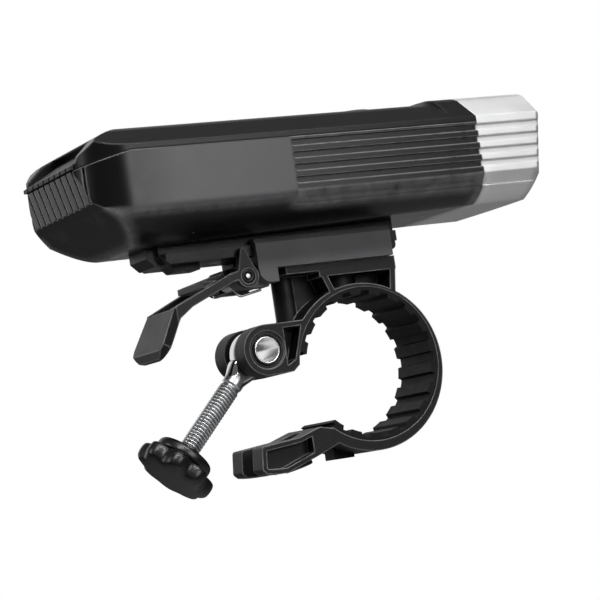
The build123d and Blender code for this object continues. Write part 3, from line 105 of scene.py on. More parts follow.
case_middle = (-0.01, 0, 0.03)
case_flank = (-0.03, 0, 0.04)
add_panel("top_panel", (0.02, -0.12, 0.62), case_middle, (0.55, 0.40), 2.6)
add_panel("near_panel", (0.16, -0.68, 0.16), case_flank, (0.34, 0.24), 1.3)
add_panel("edge_strip", (-0.10, -0.42, 0.42), case_middle, (0.60, 0.05), 2.2)
add_panel("rear_panel", (-0.62, 0.10, 0.30), case_middle, (0.20, 0.44), 0.9)

# The room is white to the eye and through glass. Metal mirrors a white backdrop behind
# the lamp, and a dim room elsewhere, which also fills the shadows faintly.
world = bpy.data.worlds.new("white room")
bpy.context.scene.world = world
world.use_nodes = True
tree = world.node_tree
tree.nodes.clear()
ray = add_node(tree, "ShaderNodeLightPath")
direction = add_node(tree, "ShaderNodeTexCoord")
direction = add_node(tree, "ShaderNodeSeparateXYZ", {}, {0: direction.outputs["Generated"]})
backdrop = add_node(tree, "ShaderNodeMapRange",
                    {"From Min": 0.72, "From Max": 0.9, "To Min": 0.1, "To Max": 1.0},
                    {"Value": direction.outputs["Y"]})
mirrored = add_node(tree, "ShaderNodeMath", {"operation": "MULTIPLY"},
                    {0: ray.outputs["Is Glossy Ray"], 1: backdrop.outputs[0]})
seen = add_node(tree, "ShaderNodeMath", {"operation": "MAXIMUM"},
                {0: ray.outputs["Is Camera Ray"], 1: ray.outputs["Is Transmission Ray"]})
seen = add_node(tree, "ShaderNodeMath", {"operation": "MAXIMUM"},
                {0: seen.outputs[0], 1: mirrored.outputs[0]})
strength = add_node(tree, "ShaderNodeMapRange", {"To Min": 0.05, "To Max": 1.0}, {"Value": seen.outputs[0]})
sky = add_node(tree, "ShaderNodeBackground", {"Color": (1, 1, 1, 1)}, {"Strength": strength.outputs[0]})
add_node(tree, "ShaderNodeOutputWorld", {}, {"Surface": sky.outputs[0]})

# The floor is a sheet of pale paper. It shows the lamp's shadow near the middle, and
# fades to the backdrop's white further out.
floor_reach, floor_height = 6.0, -0.5
floor_mesh = bpy.data.meshes.new("floor")
floor_corners = [(x * floor_reach, y * floor_reach, floor_height)
                 for x, y in ((-1, -1), (1, -1), (1, 1), (-1, 1))]
floor_mesh.from_pydata(floor_corners, [], [(0, 1, 2, 3)])
floor = bpy.data.objects.new("floor", floor_mesh)
bpy.context.scene.collection.objects.link(floor)
paper = bpy.data.materials.new("white paper floor")
paper.use_nodes = True
tree = paper.node_tree
tree.nodes.clear()
ray = add_node(tree, "ShaderNodeLightPath")
matte = add_node(tree, "ShaderNodeBsdfDiffuse", {"Color": srgb("#e6e6e6")})
glow = add_node(tree, "ShaderNodeEmission", {"Color": (1, 1, 1, 1), "Strength": 1.0})
place = add_node(tree, "ShaderNodeNewGeometry")
away = add_node(tree, "ShaderNodeVectorMath", {"operation": "LENGTH"}, {0: place.outputs["Position"]})
fade = add_node(tree, "ShaderNodeMapRange", {"From Min": 0.25, "From Max": 0.9},
                {"Value": away.outputs["Value"]})
seen = add_node(tree, "ShaderNodeMath", {"operation": "MULTIPLY"},
                {0: ray.outputs["Is Camera Ray"], 1: fade.outputs[0]})
surface = add_node(tree, "ShaderNodeMixShader", {},
                   {0: seen.outputs[0], 1: matte.outputs[0], 2: glow.outputs[0]})
add_node(tree, "ShaderNodeOutputMaterial", {}, {"Surface": surface.outputs[0]})
floor_mesh.materials.append(paper)


# Lower housing: the lamp's tub, moulded in black ABS. Its lower corners are drawn with a
# wide radius, and the flank behind the ribs carries a greyer panel of painted light.
def start_material(name, settings):
    """A new material, its tree and its Principled shader with these settings."""
    made = bpy.data.materials.new(name)
    made.use_nodes = True
    tree = made.node_tree
    tree.nodes.clear()
    shader = add_node(tree, "ShaderNodeBsdfPrincipled", settings)
    add_node(tree, "ShaderNodeOutputMaterial", {}, {"Surface": shader.outputs[0]})
    return made, tree, shader


def object_mm(tree):
    """Object coordinates in millimetres."""
    place = add_node(tree, "ShaderNodeTexCoord")
    scaled = add_node(tree, "ShaderNodeMapping", {"Scale": (1 / MM, 1 / MM, 1 / MM)},
                      {"Vector": place.outputs["Object"]})
    return scaled.outputs[0]


def soft_edges(tree, edge_mm, wide_below_mm=None, wide_mm=4, between_mm=1.2):
    """The surface's direction with its edges rounded by edge_mm, and by wide_mm below a
    height, with between_mm from the one to the other."""
    tight = add_node(tree, "ShaderNodeBevel", {"samples": 6, "Radius": edge_mm * MM})
    if wide_below_mm is None:
        return tight.outputs[0]
    wide = add_node(tree, "ShaderNodeBevel", {"samples": 8, "Radius": wide_mm * MM})
    height = add_node(tree, "ShaderNodeSeparateXYZ", {}, {0: object_mm(tree)})
    low = add_node(tree, "ShaderNodeMapRange",
                   {"From Min": wide_below_mm + between_mm / 2, "From Max": wide_below_mm - between_mm / 2},
                   {"Value": height.outputs["Z"]})
    both = add_node(tree, "ShaderNodeMix", {"data_type": "VECTOR"},
                    {0: low.outputs[0], 4: tight.outputs[0], 5: wide.outputs[0]})
    return both.outputs[1]


def moulded(name, dark, light, rough, grain_mm, relief, edge_mm=0.25, painted_edge_highlight=None,
            wide_below_mm=None, settings=None, cloud_mm=15, smear_mm=7):
    """A moulded plastic or rubber. Its colour wanders from dark to light in clouds of
    cloud_mm and its roughness between the two of rough in smears of smear_mm. The surface
    has a grain of grain_mm with this relief, and edges rounded by edge_mm, on which a
    painted highlight in the given edge colour is laid in patches."""
    made, tree, shader = start_material(name, {"IOR": 1.52, "Specular IOR Level": 0.24, **(settings or {})})
    where = object_mm(tree)
    cloud = add_node(tree, "ShaderNodeTexNoise", {"Scale": 1 / cloud_mm, "Detail": 3, "Roughness": 0.6},
                     {"Vector": where})
    tint = add_node(tree, "ShaderNodeMix", {"data_type": "RGBA", 6: srgb(dark), 7: srgb(light)},
                    {0: cloud.outputs["Fac"]})
    grain = add_node(tree, "ShaderNodeTexNoise", {"Scale": 1 / grain_mm, "Detail": 2}, {"Vector": where})
    smear = add_node(tree, "ShaderNodeTexNoise", {"Scale": 1 / smear_mm, "Detail": 4, "Distortion": 1.5},
                     {"Vector": where})
    gloss = add_node(tree, "ShaderNodeMapRange", {"To Min": rough[0], "To Max": rough[1]},
                     {"Value": smear.outputs["Fac"]})
    round_edge = soft_edges(tree, edge_mm, wide_below_mm)
    bump = add_node(tree, "ShaderNodeBump", {"Strength": relief, "Distance": 0.1 * MM},
                    {"Height": grain.outputs["Fac"], "Normal": round_edge})
    colour = tint.outputs[2]
    # Painted highlight: the rounded edges are lightened, in patches, to stand in for the lamps' glints along
    # them.
    if painted_edge_highlight:
        face = add_node(tree, "ShaderNodeNewGeometry")
        turn = add_node(tree, "ShaderNodeVectorMath", {"operation": "DOT_PRODUCT"},
                        {0: round_edge, 1: face.outputs["Normal"]})
        highlight_edge_mask = add_node(tree, "ShaderNodeMapRange", {"From Min": 0.998, "From Max": 0.96},
                        {"Value": turn.outputs["Value"]})
        patchy_highlight_mask = add_node(tree, "ShaderNodeMath", {"operation": "MULTIPLY"},
                          {0: highlight_edge_mask.outputs[0], 1: smear.outputs["Fac"]})
        painted_highlight_mix = add_node(tree, "ShaderNodeMix", {"data_type": "RGBA", 7: srgb(painted_edge_highlight)},
                          {0: patchy_highlight_mask.outputs[0], 6: colour})
        colour = painted_highlight_mix.outputs[2]
    tree.links.new(colour, shader.inputs["Base Color"])
    tree.links.new(gloss.outputs[0], shader.inputs["Roughness"])
    tree.links.new(bump.outputs[0], shader.inputs["Normal"])
    return made


def dress(name, finish):
    """Gives a CAD node one material in all its slots."""
    mesh = nodes[name].data
    if not mesh.materials:
        mesh.materials.append(finish)
    for i in range(len(mesh.materials)):
        mesh.materials[i] = finish


# Satin black ABS: nearly black, with soft smears of gloss and pale lines of painted highlight along the rib
# edges.
case_abs = moulded("satin black ABS", "#050506", "#0a0a0b", rough=(0.24, 0.34), grain_mm=0.25, relief=0.06,
                   edge_mm=0.45, painted_edge_highlight="#a8a8aa", wide_below_mm=39.0,
                   settings={"Specular IOR Level": 0.3})
tree = case_abs.node_tree
# Painted light: a greyer panel on each flank behind the ribs stands in for the lamps lighting it.
where = add_node(tree, "ShaderNodeSeparateXYZ", {}, {0: object_mm(tree)})
outward = add_node(tree, "ShaderNodeMath", {"operation": "ABSOLUTE"}, {0: where.outputs["Y"]})
panel_edges = [(outward.outputs[0], 23.0, 23.5), (where.outputs["X"], -18.6, -19.4),
               (where.outputs["X"], -60.0, -46.0), (where.outputs["Z"], 36.5, 38.5)]
on_panel = None
for measure, starts_mm, full_mm in panel_edges:
    edge = add_node(tree, "ShaderNodeMapRange", {"From Min": starts_mm, "From Max": full_mm},
                    {"Value": measure})
    if on_panel:
        edge = add_node(tree, "ShaderNodeMath", {"operation": "MULTIPLY"},
                        {0: on_panel.outputs[0], 1: edge.outputs[0]})
    on_panel = edge
case_colour = tree.nodes["Principled BSDF"].inputs["Base Color"]
painted_lit_panel = add_node(tree, "ShaderNodeMix", {"data_type": "RGBA", 7: srgb("#444446")},
                  {0: on_panel.outputs[0], 6: case_colour.links[0].from_socket})
tree.links.new(painted_lit_panel.outputs[2], case_colour)
dress("lower_housing", case_abs)

# Top cover: the lid of the case, bonded to the tub along the parting line. It comes from
# a polished mould, so it is smoother than the tub and mirrors the studio more clearly.
# Its edges carry a faint painted highlight.
cover_abs = moulded("polished black ABS", "#070708", "#0e0e0f", rough=(0.26, 0.36), grain_mm=0.3, relief=0.03,
                    edge_mm=0.6, painted_edge_highlight="#3a3a3c")
dress("top_cover", cover_abs)

# Button and gauge window, set into the lid. The button is soft-touch rubber, dull and a
# little greyer than the case, and the window is smoked acrylic, black and glassy.
# Its edges carry a faint painted highlight.
button_rubber = moulded("soft-touch button", "#191a1b", "#222324", rough=(0.4, 0.52), grain_mm=0.25,
                        relief=0.2, edge_mm=0.2, painted_edge_highlight="#3a3a3b")
dress("power_button", button_rubber)
smoked_acrylic = moulded("smoked acrylic", "#060607", "#0a0a0c", rough=(0.05, 0.1), grain_mm=3.0, relief=0.02,
                         edge_mm=0.15)
dress("display_window", smoked_acrylic)

# Port cover: a flap of black thermoplastic rubber over the charging socket, held along
# its front edge. It is dull, with a faint painted highlight on its rib edges.
flap_rubber = moulded("black TPE flap", "#101011", "#18181a", rough=(0.38, 0.52), grain_mm=0.25, relief=0.15,
                      painted_edge_highlight="#3c3c3e")
dress("port_cover", flap_rubber)

# Front bezel: a die-cast aluminium ring with cooling fins. Bead blasted and clear
# anodised, it is pale and silky, with a grain so fine that it is drawn at 0.22 mm to show.
bezel_metal, tree, shader = start_material("bead-blasted aluminium", {"Metallic": 0.85})
where = object_mm(tree)
blast = add_node(tree, "ShaderNodeTexNoise", {"Scale": 1 / 0.22, "Detail": 2}, {"Vector": where})
cloud = add_node(tree, "ShaderNodeTexNoise", {"Scale": 1 / 9, "Detail": 3}, {"Vector": where})
tint = add_node(tree, "ShaderNodeMix", {"data_type": "RGBA", 6: srgb("#e2e2e3"), 7: srgb("#efefef")},
                {0: cloud.outputs["Fac"]})
gloss = add_node(tree, "ShaderNodeMapRange", {"To Min": 0.42, "To Max": 0.54},
                 {"Value": cloud.outputs["Fac"]})
bump = add_node(tree, "ShaderNodeBump", {"Strength": 0.25, "Distance": 0.03 * MM},
                {"Height": blast.outputs["Fac"], "Normal": soft_edges(tree, 0.6, 39.0)})
tree.links.new(tint.outputs[2], shader.inputs["Base Color"])
tree.links.new(gloss.outputs[0], shader.inputs["Roughness"])
tree.links.new(bump.outputs[0], shader.inputs["Normal"])
dress("front_bezel", bezel_metal)

# Front window and its seal: a flat pane of clear polycarbonate, hard coated, with a trace
# of haze in the coat, pressed on a soft black silicone ring.
lens_clear, tree, shader = start_material(
    "clear polycarbonate", {"IOR": 1.58, "Transmission Weight": 1.0, "Base Color": srgb("#f4f6f7")})
haze = add_node(tree, "ShaderNodeTexNoise", {"Scale": 1 / 4, "Detail": 4}, {"Vector": object_mm(tree)})
gloss = add_node(tree, "ShaderNodeMapRange", {"To Min": 0.0, "To Max": 0.05}, {"Value": haze.outputs["Fac"]})
tree.links.new(gloss.outputs[0], shader.inputs["Roughness"])
dress("front_lens", lens_clear)
seal_rubber = moulded("silicone seal", "#161616", "#202020", rough=(0.55, 0.7), grain_mm=0.2, relief=0.2,
                      edge_mm=0.15)
dress("lens_gasket", seal_rubber)

# Optics: two bowls moulded in plastic and vacuum-metallised with aluminium, a bright
# mirror with a slight ripple, and the emitters with their yellow phosphor on a white board.
mirror_coat, tree, shader = start_material(
    "vacuum-metallised bowl", {"Metallic": 1.0, "Base Color": srgb("#e4e4e6")})
ripple = add_node(tree, "ShaderNodeTexNoise", {"Scale": 1 / 1.2, "Detail": 1}, {"Vector": object_mm(tree)})
gloss = add_node(tree, "ShaderNodeMapRange", {"To Min": 0.06, "To Max": 0.14},
                 {"Value": ripple.outputs["Fac"]})
bump = add_node(tree, "ShaderNodeBump", {"Strength": 0.15, "Distance": 0.05 * MM},
                {"Height": ripple.outputs["Fac"]})
tree.links.new(gloss.outputs[0], shader.inputs["Roughness"])
tree.links.new(bump.outputs[0], shader.inputs["Normal"])
dress("reflectors", mirror_coat)
phosphor = moulded("phosphor under silicone", "#d9b23a", "#e8c65a", rough=(0.15, 0.25), grain_mm=0.2,
                   relief=0.1, edge_mm=0.1)
dress("led_emitters", phosphor)
white_mask = moulded("white solder mask", "#d8d8d4", "#e4e4e0", rough=(0.3, 0.4), grain_mm=0.3, relief=0.1,
                     edge_mm=0.1)
dress("led_board", white_mask)

# Inside the case: glass-epoxy boards under green solder mask, cells in blue shrink
# sleeves, their moulded holder and the button's switch, seen only when it is opened.
green_mask = moulded("green solder mask", "#0f3d22", "#16502d", rough=(0.25, 0.35), grain_mm=0.3, relief=0.1,
                     edge_mm=0.1)
dress("driver_board", green_mask)
dress("display_board", green_mask)
shrink_sleeve = moulded("shrink sleeve", "#1f4f8a", "#2a5f9c", rough=(0.25, 0.35), grain_mm=1.5, relief=0.1,
                        edge_mm=0.2)
dress("battery_cells", shrink_sleeve)
holder_abs = moulded("natural ABS holder", "#22221f", "#2c2c29", rough=(0.4, 0.5), grain_mm=0.3, relief=0.2,
                     edge_mm=0.2)
dress("cell_holder", holder_abs)
switch_nylon = moulded("switch body", "#17171a", "#222226", rough=(0.3, 0.4), grain_mm=0.3, relief=0.1,
                       edge_mm=0.1)
dress("button_switch", switch_nylon)


# Screws, swivel and socket shell: turned and stamped steel. The screws are black zinc
# plated, dark with a dull shine, and the swivel and socket are nickel plated, warm and bright.
def plated(name, dark, light, rough, streak_mm):
    """A plated metal: its tone wanders from dark to light, and its roughness between the
    two of rough, along streaks of streak_mm, and its edges are rounded by 0.1 mm."""
    made, tree, shader = start_material(name, {"Metallic": 1.0})
    streak = add_node(tree, "ShaderNodeTexNoise", {"Scale": 1 / streak_mm, "Detail": 4},
                      {"Vector": object_mm(tree)})
    tint = add_node(tree, "ShaderNodeMix", {"data_type": "RGBA", 6: srgb(dark), 7: srgb(light)},
                    {0: streak.outputs["Fac"]})
    gloss = add_node(tree, "ShaderNodeMapRange", {"To Min": rough[0], "To Max": rough[1]},
                     {"Value": streak.outputs["Fac"]})
    round_edge = add_node(tree, "ShaderNodeBevel", {"samples": 4, "Radius": 0.1 * MM})
    bump = add_node(tree, "ShaderNodeBump", {"Strength": 0.1, "Distance": 0.03 * MM},
                    {"Height": streak.outputs["Fac"], "Normal": round_edge.outputs[0]})
    tree.links.new(tint.outputs[2], shader.inputs["Base Color"])
    tree.links.new(gloss.outputs[0], shader.inputs["Roughness"])
    tree.links.new(bump.outputs[0], shader.inputs["Normal"])
    return made


screw_zinc = plated("black zinc screw", "#3a3a3c", "#4b4b4d", rough=(0.25, 0.4), streak_mm=0.8)
for name in ("case_screws", "shoe_screws"):
    dress(name, screw_zinc)
nickel = plated("nickel plate", "#b9b8b4", "#d2d1cc", rough=(0.14, 0.26), streak_mm=1.0)
for name in ("swivel_screw", "swivel_nut", "charging_socket"):
    dress(name, nickel)

# Rail shoe: the slide under the lamp, moulded in black ABS and held by three screws. Its
# running edges carry a grey painted highlight.
shoe_abs = moulded("black ABS rail", "#161617", "#232324", rough=(0.34, 0.46), grain_mm=0.3, relief=0.2,
                   edge_mm=0.3, painted_edge_highlight="#707072")
dress("rail_shoe", shoe_abs)

# Mount base: the channel block that takes the rail, in glass-filled nylon from a spark
# eroded mould. It is greyer and duller than the lamp, and sandy: the real grain of about
# 0.15 mm is drawn at 0.5 mm so that it shows.
# Its edges carry a pale painted highlight.
mount_nylon = moulded("spark-textured nylon", "#525254", "#747476", rough=(0.5, 0.62), grain_mm=0.5,
                      relief=0.6, edge_mm=0.35, painted_edge_highlight="#8a8a8b")
dress("mount_base", mount_nylon)

# Release lever: glass-filled nylon too, from a smoother mould, on a pin between the
# base's lugs. Its long edges carry a pale painted highlight.
lever_nylon = moulded("matt nylon lever", "#0c0c0d", "#171718", rough=(0.38, 0.5), grain_mm=0.4, relief=0.3,
                      edge_mm=0.5, painted_edge_highlight="#b4b4b5", settings={"Specular IOR Level": 0.3})
dress("release_lever", lever_nylon)


# Lever pin: a bright steel pin in a black lacquered sleeve, pressed through the base's
# two lugs. Its polished end shows as a small bright dot on the lever's near ear.
def add_grid(name, points, finish, body, ends=False):
    """A closed mesh through a grid of points, with rows along the path and columns round
    it. A quad joins each four neighbours, the last column closes on the first, and ends
    adds a cap at each end. Doubled points are merged and all faces turned outwards."""
    rows, columns = points.shape[:2]
    index = np.arange(rows * columns).reshape(rows, columns)
    index = np.concatenate([index, index[:, :1]], axis=1)
    quads = np.stack([index[:-1, :-1], index[:-1, 1:], index[1:, 1:], index[1:, :-1]], axis=-1)
    faces = quads.reshape(-1, 4).tolist()
    if ends:
        faces += [index[0, :columns][::-1].tolist(), index[-1, :columns].tolist()]
    mesh = bpy.data.meshes.new(name)
    mesh.from_pydata(points.reshape(-1, 3).tolist(), [], faces)
    mesh.materials.append(finish)
    mesh.polygons.foreach_set("use_smooth", np.full(len(mesh.polygons), True))
    work = bmesh.new()
    work.from_mesh(mesh)
    bmesh.ops.remove_doubles(work, verts=work.verts, dist=1e-7)
    bmesh.ops.recalc_face_normals(work, faces=work.faces)
    if work.calc_volume(signed=True) < 0:
        bmesh.ops.reverse_faces(work, faces=work.faces)
    work.to_mesh(mesh)
    work.free()
    piece = bpy.data.objects.new(name, mesh)
    bpy.context.scene.collection.objects.link(piece)
    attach(piece, body)
    return piece


def turned_across(name, middle_mm, profile_mm, finish, body, columns):
    """A piece turned on a cross axis through middle_mm. Each row of the profile is a
    place along that axis and a radius, carried round a circle in this many columns."""
    along, radius = (np.array(profile_mm, float)[:, i : i + 1] for i in (0, 1))
    angle = np.linspace(0, 2 * math.pi, columns, endpoint=False)[None, :]
    points = np.stack([middle_mm[0] + radius * np.cos(angle), along * np.ones_like(angle),
                       middle_mm[2] + radius * np.sin(angle)], axis=-1) * MM
    return add_grid(name, points, finish, body)


# Its edges carry a faint painted highlight.
black_lacquer = moulded("black rim lacquer", "#0a0a0b", "#121213", rough=(0.3, 0.4), grain_mm=0.3, relief=0.1,
                        edge_mm=0.2, painted_edge_highlight="#2a2a2b")
pin_steel = plated("bright pin end", "#e8e8e8", "#f6f6f6", rough=(0.3, 0.4), streak_mm=0.6)
pin_low, pin_high = (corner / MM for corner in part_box("lever_pin"))
pin_middle = (pin_low + pin_high) / 2
pin_half = (pin_high[1] - pin_low[1]) / 2
core_radius_mm, core_bulge_mm = 0.6, 0.12
sleeve_bore_mm, sleeve_radius_mm, sleeve_chamfer_mm = 0.62, 1.6, 0.1
pin_end = [(pin_half - core_bulge_mm * (1 - math.cos(t)), core_radius_mm * math.sin(t))
           for t in np.linspace(0, math.pi / 2, 8)]
turned_across("lever_pin_core", pin_middle, [(-y, r) for y, r in pin_end] + pin_end[::-1],
              pin_steel, "mount", columns=48)
pin_sleeve = turned_across("lever_pin_sleeve", pin_middle, [
    (-pin_half, sleeve_bore_mm), (-pin_half, sleeve_radius_mm - sleeve_chamfer_mm),
    (-pin_half + sleeve_chamfer_mm, sleeve_radius_mm), (pin_half - sleeve_chamfer_mm, sleeve_radius_mm),
    (pin_half, sleeve_radius_mm - sleeve_chamfer_mm), (pin_half, sleeve_bore_mm),
    (-pin_half, sleeve_bore_mm)], black_lacquer, "mount", columns=48)
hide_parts("lever_pin")

# Lever spring: hard-drawn steel wire wound on the pin, bright, with faint marks of the
# drawing die along it.
spring_steel = plated("drawn spring wire", "#a8a9aa", "#d0d1d2", rough=(0.16, 0.28), streak_mm=0.5)
dress("lever_spring", spring_steel)

# Clamp band: one moulding in glass-filled nylon, open round the handlebar. Its faces are
# nearly black, with a fine grain drawn at 0.45 mm so that it shows, and its rims carry
# pale grey lines of painted highlight.
clamp_nylon = moulded("fine-textured nylon", "#0c0c0d", "#171718", rough=(0.42, 0.54), grain_mm=0.45,
                      relief=0.45, edge_mm=0.4, painted_edge_highlight="#c0c0c1", settings={"Specular IOR Level": 0.28})
dress("clamp_band", clamp_nylon)

# Clamp liner: a strip of black rubber with cross teeth, plugged into the band. It is
# duller and blacker than all around it.
# Its edges carry a faint painted highlight.
liner_rubber = moulded("black rubber liner", "#060606", "#0d0d0d", rough=(0.5, 0.68), grain_mm=0.3,
                       relief=0.3, edge_mm=0.2, painted_edge_highlight="#222222")
dress("clamp_liner", liner_rubber)

# Clevis rivet: a bright hollow tube through both ears and the bolt's eye, with a black
# lacquered rim rolled over at each end. One sees the backdrop gleam along its bore.
bore_polish = plated("polished bright bore", "#f4f4f4", "#fbfbfb", rough=(0.22, 0.28), streak_mm=1.2)
rivet_low, rivet_high = (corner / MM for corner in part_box("pivot_barrel"))
rivet_middle = (rivet_low + rivet_high) / 2
rivet_half = (rivet_high[1] - rivet_low[1]) / 2
tube_half, tube_bore_mm, tube_radius_mm, tube_round_mm = rivet_half - 0.15, 2.72, 3.04, 0.02
tube_side = [(tube_half - 5 * tube_round_mm, tube_bore_mm), (tube_half - 1.5 * tube_round_mm, tube_bore_mm),
             (tube_half, tube_bore_mm + tube_round_mm), (tube_half, tube_radius_mm - tube_round_mm),
             (tube_half - 2.5 * tube_round_mm, tube_radius_mm)]
far_side = [(-y, r) for y, r in tube_side]
rivet_tube = turned_across("clevis_rivet", rivet_middle, far_side[2::-1] + tube_side + far_side[:1:-1],
                           bore_polish, "clamp", columns=96)
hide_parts("pivot_barrel")
rim_middle_mm, rim_half_mm, rim_rise_mm, rim_foot_mm = 3.33, 0.27, 0.43, 0.15
rim_start = rivet_half - 0.45
for side, label in ((-1, "near"), (1, "far")):
    rolled = [(side * (rim_start + rim_rise_mm * math.sin(t)), rim_middle_mm - rim_half_mm * math.cos(t))
              for t in np.linspace(0, math.pi, 12)]
    foot = [(side * (rim_start - rim_foot_mm), rim_middle_mm + turn * rim_half_mm) for turn in (1, -1)]
    turned_across(f"rivet_rim_{label}", rivet_middle, [*rolled, *foot, rolled[0]], black_lacquer, "clamp",
                  columns=96)

# Eye bolt: a steel eye forged on an M5 bolt, its thread rolled, swinging on the hollow
# rivet in the clevis. Its bright chrome mirrors the studio in hard streaks of light.
chrome = plated("bright chrome", "#c9cacc", "#e2e3e5", rough=(0.06, 0.14), streak_mm=1.6)
bolt_foot = np.array([rivet_middle[0], 0, rivet_middle[2]]) * MM
bolt_turn = math.radians(225.8)
bolt_way = np.array([math.cos(bolt_turn), 0, math.sin(bolt_turn)])
bolt_side = np.array([0, 1.0, 0])
bolt_up = np.cross(bolt_side, bolt_way)


def along_bolt(reach_mm, wide_mm, deep_mm):
    """Points at this reach along the bolt's axis, and this far across it to its side and
    up from it."""
    offset_mm = sum(np.asarray(size)[..., None] * axis
                    for size, axis in ((reach_mm, bolt_way), (wide_mm, bolt_side), (deep_mm, bolt_up)))
    return bolt_foot + offset_mm * MM


def grid_of(rows, columns):
    """A grid of these rows with an angle round the axis in each column."""
    angle = np.linspace(0, 2 * math.pi, columns, endpoint=False)
    return np.meshgrid(rows, angle, indexing="ij")


# The shank's thread is a rounded ridge that climbs 0.8 mm a turn, grows in after the
# plain neck and ends before the point. Its roots are painted dark as painted shade.
pitch_mm, root_radius_mm, ridge_mm = 0.8, 2.0, 0.4
thread_from_mm, thread_to_mm = 9.4, 33.4
shank_from_mm, shank_to_mm, point_radius_mm, plain_extra_mm = 6.2, 33.6, 1.6, 0.42
reach, angle = grid_of(np.linspace(shank_from_mm, shank_to_mm, 560), 48)
phase = (reach / pitch_mm - angle / (2 * math.pi)) % 1
ridge = np.abs(np.sin(math.pi * phase)) ** 0.6
grow = np.clip((reach - thread_from_mm) / 1.0, 0, 1) * np.clip((thread_to_mm - reach) / 0.5, 0, 1)
plain = np.clip((thread_from_mm + 0.2 - reach) / 0.5, 0, 1)
radius = root_radius_mm + ridge_mm * ridge * grow + plain_extra_mm * plain * plain * (3 - 2 * plain)
radius[-1] = point_radius_mm
thread_chrome = chrome.copy()
thread_chrome.name = "chromed rolled thread"
tree = thread_chrome.node_tree
shader = tree.nodes["Principled BSDF"]
tree.links.remove(shader.inputs["Normal"].links[0])
wiped = shader.inputs["Roughness"].links[0].from_node
wiped.inputs["To Min"].default_value, wiped.inputs["To Max"].default_value = 0.28, 0.38
# Painted shade: the thread's roots are darkened by their depth, standing in for the shade that falls in them.
depth = add_node(tree, "ShaderNodeAttribute", {"attribute_name": "thread_depth"})
bright = shader.inputs["Base Color"].links[0].from_socket
painted_root_shade = add_node(tree, "ShaderNodeMix", {"data_type": "RGBA", 7: srgb("#1c1c1e")},
                  {0: depth.outputs["Fac"], 6: bright})
tree.links.new(painted_root_shade.outputs[2], shader.inputs["Base Color"])
shank = add_grid("eye_bolt_shank", along_bolt(reach, radius * np.cos(angle), radius * np.sin(angle)),
                 thread_chrome, "bolt", ends=True)
shade = shank.data.attributes.new("thread_depth", "FLOAT", "POINT")
shade.data.foreach_set("value", ((1 - ridge) ** 1.5 * grow).astype(np.float32).ravel())
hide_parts("clamp_bolt")


# The eye is a ring whose section is a squared oval, carried round the rivet. Near the
# shank the section swells, so that the ring runs down into the neck.
def squared(angle, power):
    """Cosine and sine of an angle, pushed outwards on a superellipse of this power."""
    cosine, sine = np.cos(angle), np.sin(angle)
    size = (np.abs(cosine) ** power + np.abs(sine) ** power) ** (-1 / power)
    return cosine * size, sine * size


eye_middle_mm, eye_thick_mm, eye_half_mm, swell_mm, swell_turn = 4.42, 0.80, 2.35, 0.5, 0.42
turn, section = grid_of(np.linspace(0, 2 * math.pi, 96, endpoint=False), 40)
out_share, wide_share = squared(section, 3.2)
lean = np.exp(-((np.angle(np.exp(1j * (turn - bolt_turn)))) / swell_turn) ** 2)
ring_radius = eye_middle_mm + (eye_thick_mm + swell_mm * lean) * out_share + swell_mm * lean
ring_mm = np.stack([ring_radius * np.cos(turn), eye_half_mm * wide_share, ring_radius * np.sin(turn)],
                   axis=-1)
ring = bolt_foot + ring_mm * MM
ring = np.concatenate([ring, ring[:1]], axis=0)
eye = add_grid("eye_bolt_eye", ring[::-1], chrome, "bolt")

# The neck is the eye's squared foot drawn down to the round shank by an eased blend.
neck_from_mm, neck_to_mm, neck_radius_mm, foot_deep_mm = 4.4, 8.8, 2.3, 3.3
reach, angle = grid_of(np.linspace(neck_from_mm, neck_to_mm, 24), 48)
share = (reach - neck_from_mm) / (neck_to_mm - neck_from_mm)
ease = share * share * (3 - 2 * share)
round_wide, round_deep = squared(angle, 2.0)
square_wide, square_deep = squared(angle, 4.0)
half_wide = neck_radius_mm * ((1 - ease) * square_wide + ease * round_wide)
half_deep = (1 - ease) * foot_deep_mm * square_deep + ease * neck_radius_mm * round_deep
neck = add_grid("eye_bolt_neck", along_bolt(reach, half_wide, half_deep), chrome, "bolt", ends=True)

# Knob: semi-gloss black nylon moulded on a turned brass nut, with eight finger hollows
# and a low dome that take soft highlights. A smooth collar turns free above it and
# presses on the fork.
# Its edges carry a faint painted highlight.
knob_nylon = moulded("semi-gloss black nylon", "#080809", "#0e0e0f", rough=(0.26, 0.36), grain_mm=0.3,
                     relief=0.05, edge_mm=0.3, painted_edge_highlight="#2a2a2b", settings={"Specular IOR Level": 0.55})
brass = plated("turned brass", "#a9854a", "#c39a55", rough=(0.2, 0.32), streak_mm=0.8)
dress("knob_insert", brass)


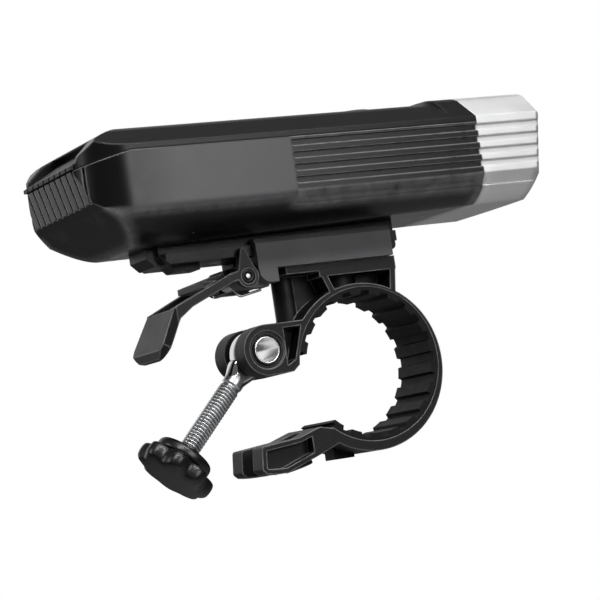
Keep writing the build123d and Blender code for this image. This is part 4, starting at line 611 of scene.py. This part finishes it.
def turned_about_bolt(name, profile, body, lobes=0, hollow_mm=0.0):
    """A piece turned on the bolt's axis. Each row of the profile is a reach, a radius and
    a share of the hollows. The lines between rows are rounded by a running mean, and the
    hollows, hollow_mm deep, are cut by a cosine of the angle raised to a power."""
    rows = np.arange(len(profile))
    steps = np.linspace(0, len(profile) - 1, 10 * (len(profile) - 1) + 1)
    lines = np.stack([np.interp(steps, rows, column) for column in np.array(profile, float).T])
    padded = np.pad(lines, ((0, 0), (3, 3)), mode="reflect", reflect_type="odd")
    soft = sum(padded[:, i : i + lines.shape[1]] for i in range(7)) / 7
    reach, base, share = (row[:, None] * np.ones((1, 192)) for row in soft)
    angle = np.linspace(0, 2 * math.pi, 192, endpoint=False)[None, :] * np.ones_like(reach)
    wave = (0.5 + 0.5 * np.cos(angle * lobes)) ** 1.3 if lobes else 0.0
    radius = np.maximum(base - hollow_mm * share * wave, 0.0)
    points = along_bolt(reach, radius * np.cos(angle), radius * np.sin(angle))
    return add_grid(name, points, knob_nylon, body)


# The profiles give shares of the height and of the radius, and the share of the hollows.
bore_radius_mm = 2.5
collar_from_mm, collar_height_mm, collar_radius_mm = 28.12, 2.56, 6.73
collar_shares = [(0, 0.877, 0), (0.07, 0.958, 0), (0.305, 0.996, 0), (0.695, 1, 0), (0.89, 0.981, 0),
                 (1, 0.921, 0)]
collar_bore = [(collar_from_mm + end * collar_height_mm, bore_radius_mm, 0) for end in (0, 1)]
collar_side = [(collar_from_mm + high * collar_height_mm, wide * collar_radius_mm, hollow)
               for high, wide, hollow in collar_shares]
collar_ring = turned_about_bolt("knob_collar_ring",
                                [collar_bore[0], *collar_side, collar_bore[1], collar_bore[0]], "collar")
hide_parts("knob_collar")
grip_from_mm, grip_height_mm, grip_radius_mm = 30.78, 4.9, 9.18
grip_shares = [(0, 0.654, 0.1), (0.014, 0.904, 1), (0.086, 0.975, 1), (0.249, 1, 1), (0.494, 1, 1),
               (0.698, 0.98, 1), (0.82, 0.915, 0.8), (0.902, 0.784, 0.35), (0.953, 0.61, 0.05),
               (0.984, 0.414, 0), (0.998, 0.196, 0), (1, 0, 0)]
grip_side = [(grip_from_mm + high * grip_height_mm, wide * grip_radius_mm, hollow)
             for high, wide, hollow in grip_shares]
knob_grip = turned_about_bolt("knob_grip", [(grip_from_mm, bore_radius_mm, 0), *grip_side], "knob",
                              lobes=8, hollow_mm=1.2)
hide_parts("clamp_knob")
